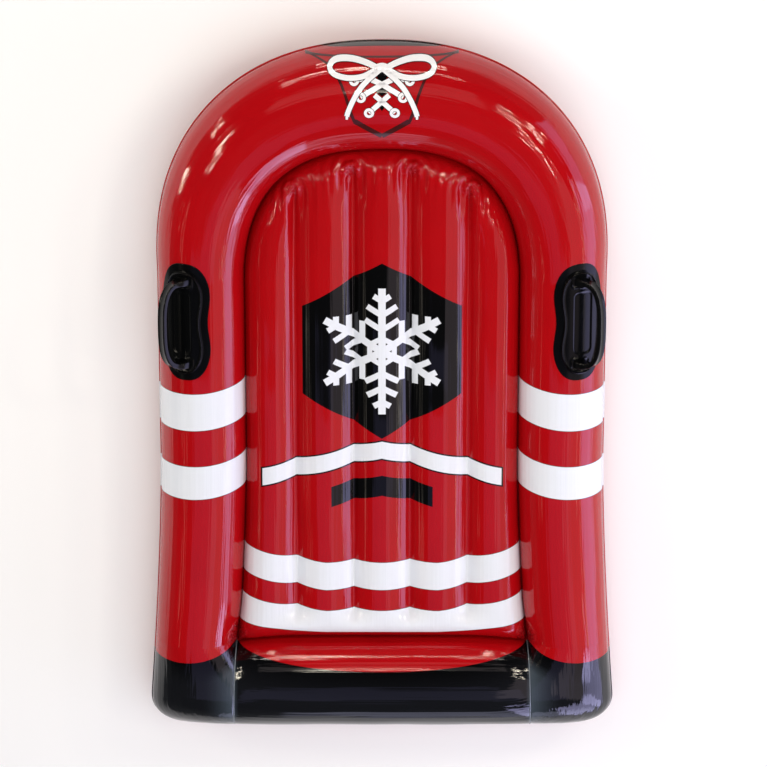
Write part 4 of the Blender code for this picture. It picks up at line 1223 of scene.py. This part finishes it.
def handlePieces(sideName, hand):
    scales = handle["scales"]
    low, top = handle["patchLow"], handle["patchTop"]
    levels = [(0.0, scale, low) for scale in scales]
    levels += [(0.0, 1.0, top - 0.0005), (0.0004, 1.0, top)]
    levels += [(0.0004, scale, top) for scale in scales[-2::-1]]
    patch = beanPiece("handlePatch" + sideName, hand, levels)

    inset, bead, baseTop = handle["baseInset"], handle["beadTop"], handle["baseTop"]
    levels = [(inset, scale, handle["baseLow"]) for scale in scales]
    levels += [(inset, 1.0, baseTop - 0.0006), (inset + 0.0003, 1.0, baseTop),
               (inset + 0.0016, 1.0, baseTop + 0.0004), (inset + 0.0024, 1.0, bead - 0.0016),
               (inset + 0.0028, 1.0, bead - 0.0003), (inset + 0.0032, 1.0, bead),
               (inset + 0.0036, 1.0, bead - 0.0004), (inset + 0.0042, 1.0, bead - 0.0022),
               (inset + 0.0052, 1.0, bead - 0.0034), (inset + 0.0068, 1.0, handle["dish"] + 0.0003)]
    levels += [(inset + 0.0075, scale, None) for scale in np.linspace(1.0, 0.04, handle["dishSteps"])]
    base = beanPiece("handleBase" + sideName, hand, levels, baseLift)

    # The grip leans outwards; its outer face has a rim along both edges
    root = Vector(handlePoint(0.0, 0.0, handle["dish"] + handle["gripRoot"], hand))
    lean = Vector((hand * math.sin(handle["gripLean"]), 0.0, math.cos(handle["gripLean"])))
    wide = Vector((-hand * math.cos(handle["gripLean"]), 0.0, math.sin(handle["gripLean"])))
    reach, halfLength, power = handle["gripReach"], handle["gripHalfLength"], handle["gripPower"]
    outline = []
    for angle in np.linspace(0.0, math.tau, handle["gripTurns"], endpoint=False):
        outline.append((signedPower(math.cos(angle), handle["gripRound"][0]),
                        signedPower(math.sin(angle), handle["gripRound"][1])))
    vertices = []
    for angle in np.linspace(0.0, math.pi, handle["gripSteps"] + 1):
        u = signedPower(math.cos(angle), 2.0 / power)
        h = max(0.0, math.sin(angle)) ** (2.0 / power)
        widen = 1.0 + handle["footFlare"] * (1.0 - float(ease(h, 0.0, handle["flareBy"])))
        halfThick = handle["gripThickness"] / 2 * widen
        halfBroad = handle["gripWidth"] / 2 * widen
        slopeU = abs(u) ** (power - 1.0) * math.copysign(1.0, u) / halfLength
        slopeH = h ** (power - 1.0) / reach
        normal = (Vector((0.0, slopeU, 0.0)) + lean * slopeH).normalized()
        centre = root + Vector((0.0, u * halfLength, 0.0)) + lean * (h * reach)
        for thick, broad in outline:
            flat = 1.0 - float(ease(abs(broad), *handle["rimEdge"]))
            groove = handle["rim"] * flat if thick > 0.5 else 0.0
            spot = centre + normal * (halfThick * thick - groove) + wide * (halfBroad * broad)
            if h < 1e-6:
                spot = Vector(handlePoint(u * halfLength + halfThick * thick * math.copysign(1.0, u),
                                          halfBroad * broad, handle["dish"] + handle["gripSink"], hand))
            vertices.append(spot)
    around = len(outline)
    faces = gridFaces(handle["gripSteps"] + 1, around, closed=True)
    faces += [tuple(range(around)), tuple(handle["gripSteps"] * around + i for i in range(around))]
    grip = meshPiece("handleGrip" + sideName, vertices, faces, [mouldedVinyl], smoothAngle=50)
    return patch, base, grip


handles = {"left": handlePieces("Left", -1.0), "right": handlePieces("Right", 1.0)}
print("handles made")

# Air valves, drawn along their own Z with the film at height 0 and the hinge on the -X side
valve = {
    "stemRadius": 0.0062, "stemBore": 0.0044, "stemAbove": 0.0040, "stemBelow": 0.0140,
    "capRadius": 0.0070, "capThickness": 0.0016, "spigotRadius": 0.0040, "spigotDepth": 0.0025,
    "hingeReach": 0.0090, "lugHalfWidth": 0.0022, "lugHeight": 0.0018,
    "tongueHalfWidth": 0.0020, "tongueHeight": 0.0011, "flapRadius": 0.0054, "flapThickness": 0.0008,
    "flangeRadius": 0.0096, "flangeBore": 0.0066, "flangeThickness": 0.0012, "gap": 0.0003, "turns": 56,
    # The hole in the film is wider inside, for the flap. Points within holeNear of it are new.
    "holeRadius": 0.0064, "holeInside": 0.0085, "holeShoulder": 0.0030, "holeDepth": 0.0300,
    "holeNear": 0.0340, "holeEdgeAngle": 50,
}
valveFrames = {
    "tube": {"place": Vector((0.16, -0.623884, 0.042467)), "outward": Vector((0.0, -0.881606, -0.471987))},
    "floor": {"place": Vector((0.0, -0.33, 0.04206)), "outward": Vector((0.0, 0.0, -1.0))},
}


def turnedPiece(prefix, part, profile, blocks=()):
    # Turns (radius, height) about a valve's axis, and joins small blocks on
    place, outward = valveFrames[prefix]["place"], valveFrames[prefix]["outward"]
    across = Vector((1.0, 0.0, 0.0))
    third = outward.cross(across)
    vertices = []
    for radius, height in profile:
        for angle in np.linspace(0.0, math.tau, valve["turns"], endpoint=False):
            vertices.append(place + across * (radius * math.cos(angle)) + third * (radius * math.sin(angle))
                            + outward * height)
    faces = gridFaces(len(profile), valve["turns"], closed=True)
    for low, high in blocks:
        base = len(vertices)
        for z in (low[2], high[2]):
            for y in (low[1], high[1]):
                for x in (low[0], high[0]):
                    vertices.append(place + across * x + third * y + outward * z)
        for corners in ((0, 2, 3, 1), (4, 5, 7, 6), (0, 1, 5, 4), (2, 6, 7, 3), (0, 4, 6, 2), (1, 3, 7, 5)):
            faces.append(tuple(base + corner for corner in corners))
    return meshPiece(prefix + "Valve" + part, vertices, faces, [clearVinyl], smoothAngle=35)


def valvePieces(prefix):
    # Steps of 0.1 to 0.6 mm in a profile round its edges
    bore, rim, foot, stemTop = valve["stemBore"], valve["stemRadius"], -valve["stemBelow"], valve["stemAbove"]
    gap, flangeBore, flangeRim = valve["gap"], valve["flangeBore"], valve["flangeRadius"]
    spigot, cap = valve["spigotRadius"], valve["capRadius"]
    lug, tongue = valve["lugHalfWidth"], valve["tongueHalfWidth"]
    top = gap + valve["flangeThickness"]
    flange = turnedPiece(prefix, "Flange", [
        (flangeBore, gap), (flangeRim, gap), (flangeRim, top - 0.0005), (flangeRim - 0.0002, top - 0.0001),
        (flangeRim - 0.0006, top), (flangeBore + 0.0006, top), (flangeBore, top - 0.0003), (flangeBore, gap)])
    stem = turnedPiece(prefix, "Stem", [
        (bore, foot), (rim - 0.0003, foot), (rim, foot + 0.0003), (rim - 0.0005, -0.0055),
        (rim - 0.0005, -0.0015), (rim, -0.0005), (rim, stemTop - 0.0004), (rim - 0.0004, stemTop),
        (bore + 0.0003, stemTop), (bore, stemTop - 0.0003), (bore, foot)],
        blocks=[((-valve["hingeReach"] + gap, -lug, stemTop - valve["lugHeight"]),
                 (-rim + 0.0008, lug, stemTop - gap))])
    base = stemTop + gap
    end, capTop = base - valve["spigotDepth"], base + valve["capThickness"]
    plug = turnedPiece(prefix, "Plug", [
        (0.0, end), (spigot - 0.0006, end), (spigot - 0.0002, end + 0.0002), (spigot, end + 0.0006),
        (spigot, base), (cap, base), (cap, capTop - 0.0006), (cap - 0.0002, capTop - 0.0002),
        (cap - 0.0006, capTop), (0.0030, capTop), (0.0024, capTop - 0.0005), (0.0, capTop - 0.0005)],
        blocks=[((-valve["hingeReach"], -tongue, base),
                 (-cap + 0.0010, tongue, base + valve["tongueHeight"]))])
    flapTop, flapRim = foot - gap, valve["flapRadius"]
    low = flapTop - valve["flapThickness"]
    flap = turnedPiece(prefix, "Flap", [
        (0.0, low), (flapRim - 0.0002, low), (flapRim, low + 0.0002), (flapRim, flapTop - 0.0002),
        (flapRim - 0.0002, flapTop), (0.0, flapTop)])
    return {"flange": flange, "stem": stem, "plug": plug, "flap": flap}


def openFilm(film, prefix, placesOf):
    # Sinks a round hole for the stem and its flap into the closed film. placesOf gives the new points
    # their filmPlace.
    inside, radius, shoulder = valve["holeInside"], valve["holeRadius"], -valve["holeShoulder"]
    punch = turnedPiece(prefix, "Punch", [
        (0.0, -valve["holeDepth"]), (inside, -valve["holeDepth"]), (inside, 2.0 * shoulder),
        (radius, shoulder), (radius, valve["stemAbove"]), (0.0, valve["stemAbove"])])
    cut = film.modifiers.new("hole", "BOOLEAN")
    cut.operation = "DIFFERENCE"
    cut.solver = "EXACT"
    cut.object = punch
    made = keepEvaluated(film)
    bpy.data.objects.remove(punch)
    spots = readPoints(made)
    near = np.linalg.norm(spots - np.array(valveFrames[prefix]["place"]), axis=1) < valve["holeNear"]
    places = readPlaces(made)
    places[near] = placesOf(spots)[near]
    writePlaces(made, places)
    sharp = math.radians(valve["holeEdgeAngle"])
    work = bmesh.new()
    work.from_mesh(made)
    for edge in work.edges:
        if all(near[corner.index] for corner in edge.verts) and edge.calc_face_angle(0.0) > sharp:
            edge.smooth = False
    work.to_mesh(made)
    work.free()


valves = {prefix: valvePieces(prefix) for prefix in ("tube", "floor")}
openFilm(bolsterFilm, "tube", bolsterPlaces)
openFilm(floorFilm, "floor", floorPlaces)
print("valves made")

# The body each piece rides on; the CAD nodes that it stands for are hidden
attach(ringFilm, "sled")
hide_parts("tube_top_skin", "tube_bottom_skin")
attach(bolsterFilm, "sled")
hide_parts("bolster_top_skin", "bolster_bottom_skin")
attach(floorFilm, "sled")
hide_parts("floor_top_sheet", "floor_bottom_sheet")
for number, piece in enumerate(webPieces, start=1):
    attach(piece, "sled")
    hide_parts("floor_web_" + str(number))
for piece in weldPieces + neckPieces:
    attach(piece, "sled")
for sideName, pieces in handles.items():
    for piece, part in zip(pieces, ("patch", "base", "grip")):
        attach(piece, "sled")
        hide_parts("handle_" + sideName + "_" + part)
for prefix, pieces in valves.items():
    for part, piece in pieces.items():
        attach(piece, "sled" if part == "flange" else prefix + "_" + part)
        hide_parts(prefix + "_valve_" + part)

# Studio: a white floor that keeps the shadow, a soft fill overhead, a window-like panel on the right,
# small lamps whose reflections draw the channels and the nose, and a camera high above the nose
studio = {
    "floorSize": 24.0, "floorZ": -0.0004, "floorColour": "#f0f0f2", "floorGlow": 0.12,
    "wallGlow": 0.13, "ceilingGlow": 0.03, "wallTop": (0.05, 0.42), "wallColour": (0.96, 0.98, 1.0, 1.0),
    "lamps": [
        # name, direction, size across and along, glow, distance, colour and what it shows in: "all",
        # "light" without its own reflection, or "shine" as a reflection alone
        ("fill", (0.12, -0.10, 1.0), (3.2, 3.2), 2.08, 3.4, "#ffffff", "light"),
        ("leftSoft", (-1.0, 0.10, 0.45), (3.2, 1.4), 1.0, 3.2, "#ffffff", "light"),
        ("frontSoft", (0.0, 1.0, 0.45), (3.0, 1.4), 0.95, 3.2, "#ffffff", "light"),
        ("rearSoft", (0.0, -1.0, 0.45), (3.0, 1.4), 0.65, 3.2, "#ffffff", "light"),
        ("rightWindow", (0.93, -0.33, 0.24), (3.4, 1.7), 2.7, 3.0, "#dadcff", "light"),
        ("rightGlow", (0.93, -0.33, 0.24), (3.1, 1.6), 3.6, 2.8, "#cdcaff", "shine"),
        ("rearGlow", (0.54, -0.81, 0.24), (2.2, 1.4), 4.4, 3.1, "#cdcaff", "shine"),
        ("frontGlow", (0.90, 0.30, 0.22), (1.9, 1.2), 2.1, 3.1, "#cdcaff", "shine"),
        ("rightHigh", (0.60, -0.31, 0.74), (2.6, 2.0), 0.60, 3.2, "#ffeaf2", "all"),
        ("frontLine", (-0.05, 0.92, 0.38), (2.8, 0.06), 34.0, 3.2, "#fff4e8", "shine"),
        ("frontPanel", (-0.02, 0.58, 0.81), (2.8, 0.9), 0.5, 3.2, "#fff0f0", "all"),
        ("rearHaze", (0.0, -0.52, 0.86), (3.6, 1.6), 0.34, 3.4, "#c4c0ff", "shine"),
        ("frontHigh", (-0.03, 0.48, 0.87), (0.50, 0.05), 44.0),
        ("frontLow", (-0.08, 0.93, 0.34), (0.36, 0.05), 60.0),
        ("leftNear", (-0.69, 0.35, 0.64), (0.55, 0.05), 90.0),
        ("leftNearer", (-0.66, 0.18, 0.73), (0.50, 0.04), 80.0),
        ("leftFar", (-0.82, 0.53, 0.25), (0.40, 0.05), 100.0),
        ("leftEdge", (-0.96, 0.19, 0.16), (0.45, 0.05), 90.0),
        ("rightNear", (0.51, 0.48, 0.71), (0.50, 0.05), 90.0),
        ("rightNearer", (0.49, 0.22, 0.84), (0.45, 0.04), 80.0),
        ("rightFar", (0.68, 0.42, 0.60), (0.50, 0.05), 100.0),
        ("rightEdge", (0.58, 0.13, 0.80), (0.45, 0.04), 70.0),
        ("farLeft", (-0.25, 0.96, 0.12), (0.20, 0.08), 60.0),
        ("farRight", (0.22, 0.96, 0.14), (0.20, 0.08), 60.0),
        ("leftStrip", (-0.80, -0.22, 0.55), (1.5, 0.10), 1.2, 2.8, "#fff4e0", "all"),
        ("rightStrip", (0.82, -0.15, 0.55), (1.9, 0.05), 5.0, 2.8, "#fff4e0", "all"),
        ("rearPanel", (0.25, -1.0, 0.16), (2.2, 0.7), 1.3, 3.0, "#dadcff", "all"),
    ],
    "usualLamp": (3.2, "#fff4e0", "all"),  # distance, colour, shown in
    "aim": Vector((0.0, 0.0130, 0.08)), "distance": 7.0, "tilt": math.radians(18.0), "lens": 185.4,
    "sensor": 36.0, "nudge": 0.00266,
}
corners = [(x * studio["floorSize"] / 2, y * studio["floorSize"] / 2, studio["floorZ"])
           for x, y in ((-1, -1), (1, -1), (1, 1), (-1, 1))]
ground = meshPiece("studioFloor", corners, [(0, 1, 2, 3)], [])
groundPaint, tree = newMaterial("whiteStudioFloor")
tree.nodes.clear()
path = addNode(tree, "ShaderNodeLightPath", {}).node.outputs
seen = addNode(tree, "ShaderNodeMath", {"operation": "MAXIMUM"}, path["Is Camera Ray"], path["Is Glossy Ray"])
seen = addNode(tree, "ShaderNodeMath", {"operation": "MAXIMUM"}, seen, path["Is Transmission Ray"])
diffuse = addNode(tree, "ShaderNodeBsdfDiffuse", {"Color": linearColour(studio["floorColour"])})
glow = addNode(tree, "ShaderNodeEmission", {"Color": (1.0, 1.0, 1.0, 1.0), "Strength": studio["floorGlow"]})
both = addNode(tree, "ShaderNodeAddShader", {}, diffuse, glow)
mixed = addNode(tree, "ShaderNodeMixShader", {}, seen, diffuse, both)
tree.links.new(mixed, tree.nodes.new("ShaderNodeOutputMaterial").inputs["Surface"])
ground.data.materials.append(groundPaint)

for name, direction, size, glow, *rest in studio["lamps"]:
    distance, colour, shown = rest or studio["usualLamp"]
    light = bpy.data.lights.new(name, "AREA")
    light.shape = "RECTANGLE"
    light.size, light.size_y = size
    light.color = linearColour(colour)[:3]
    light.energy = glow * math.pi * size[0] * size[1]
    holder = linked(name, light)
    holder.location = Vector(direction).normalized() * distance
    holder.rotation_euler = (-holder.location).to_track_quat("-Z", "Y").to_euler()
    holder.visible_glossy = shown != "light"
    holder.visible_diffuse = shown != "shine"

# Pale walls that fade to a dark ceiling between about 3 and 25 degrees up
world = bpy.data.worlds.new("studioWorld")
bpy.context.scene.world = world
world.use_nodes = True
tree = world.node_tree
direction = addNode(tree, "ShaderNodeTexCoord", {}).node.outputs["Generated"]
height = addNode(tree, "ShaderNodeSeparateXYZ", {}, direction).node.outputs["Z"]
strength = addNode(tree, "ShaderNodeMapRange", {"interpolation_type": "SMOOTHSTEP"}, height,
                   *studio["wallTop"], studio["wallGlow"], studio["ceilingGlow"])
fill(tree, tree.nodes["Background"], {"Color": studio["wallColour"], "Strength": strength})

camera = linked("camera", bpy.data.cameras.new("camera"))
bpy.context.scene.camera = camera
camera.data.lens = studio["lens"]
camera.data.sensor_width = studio["sensor"]
back = Vector((0.0, math.sin(studio["tilt"]), math.cos(studio["tilt"])))
up = Vector((0.0, math.cos(studio["tilt"]), -math.sin(studio["tilt"])))
nudge = Vector((studio["nudge"], 0.0, 0.0))
camera.location = studio["aim"] + back * studio["distance"] + nudge - up * studio["nudge"]
camera.rotation_euler = (-studio["tilt"], 0.0, 0.0)
bpy.context.scene.view_settings.view_transform = "Standard"
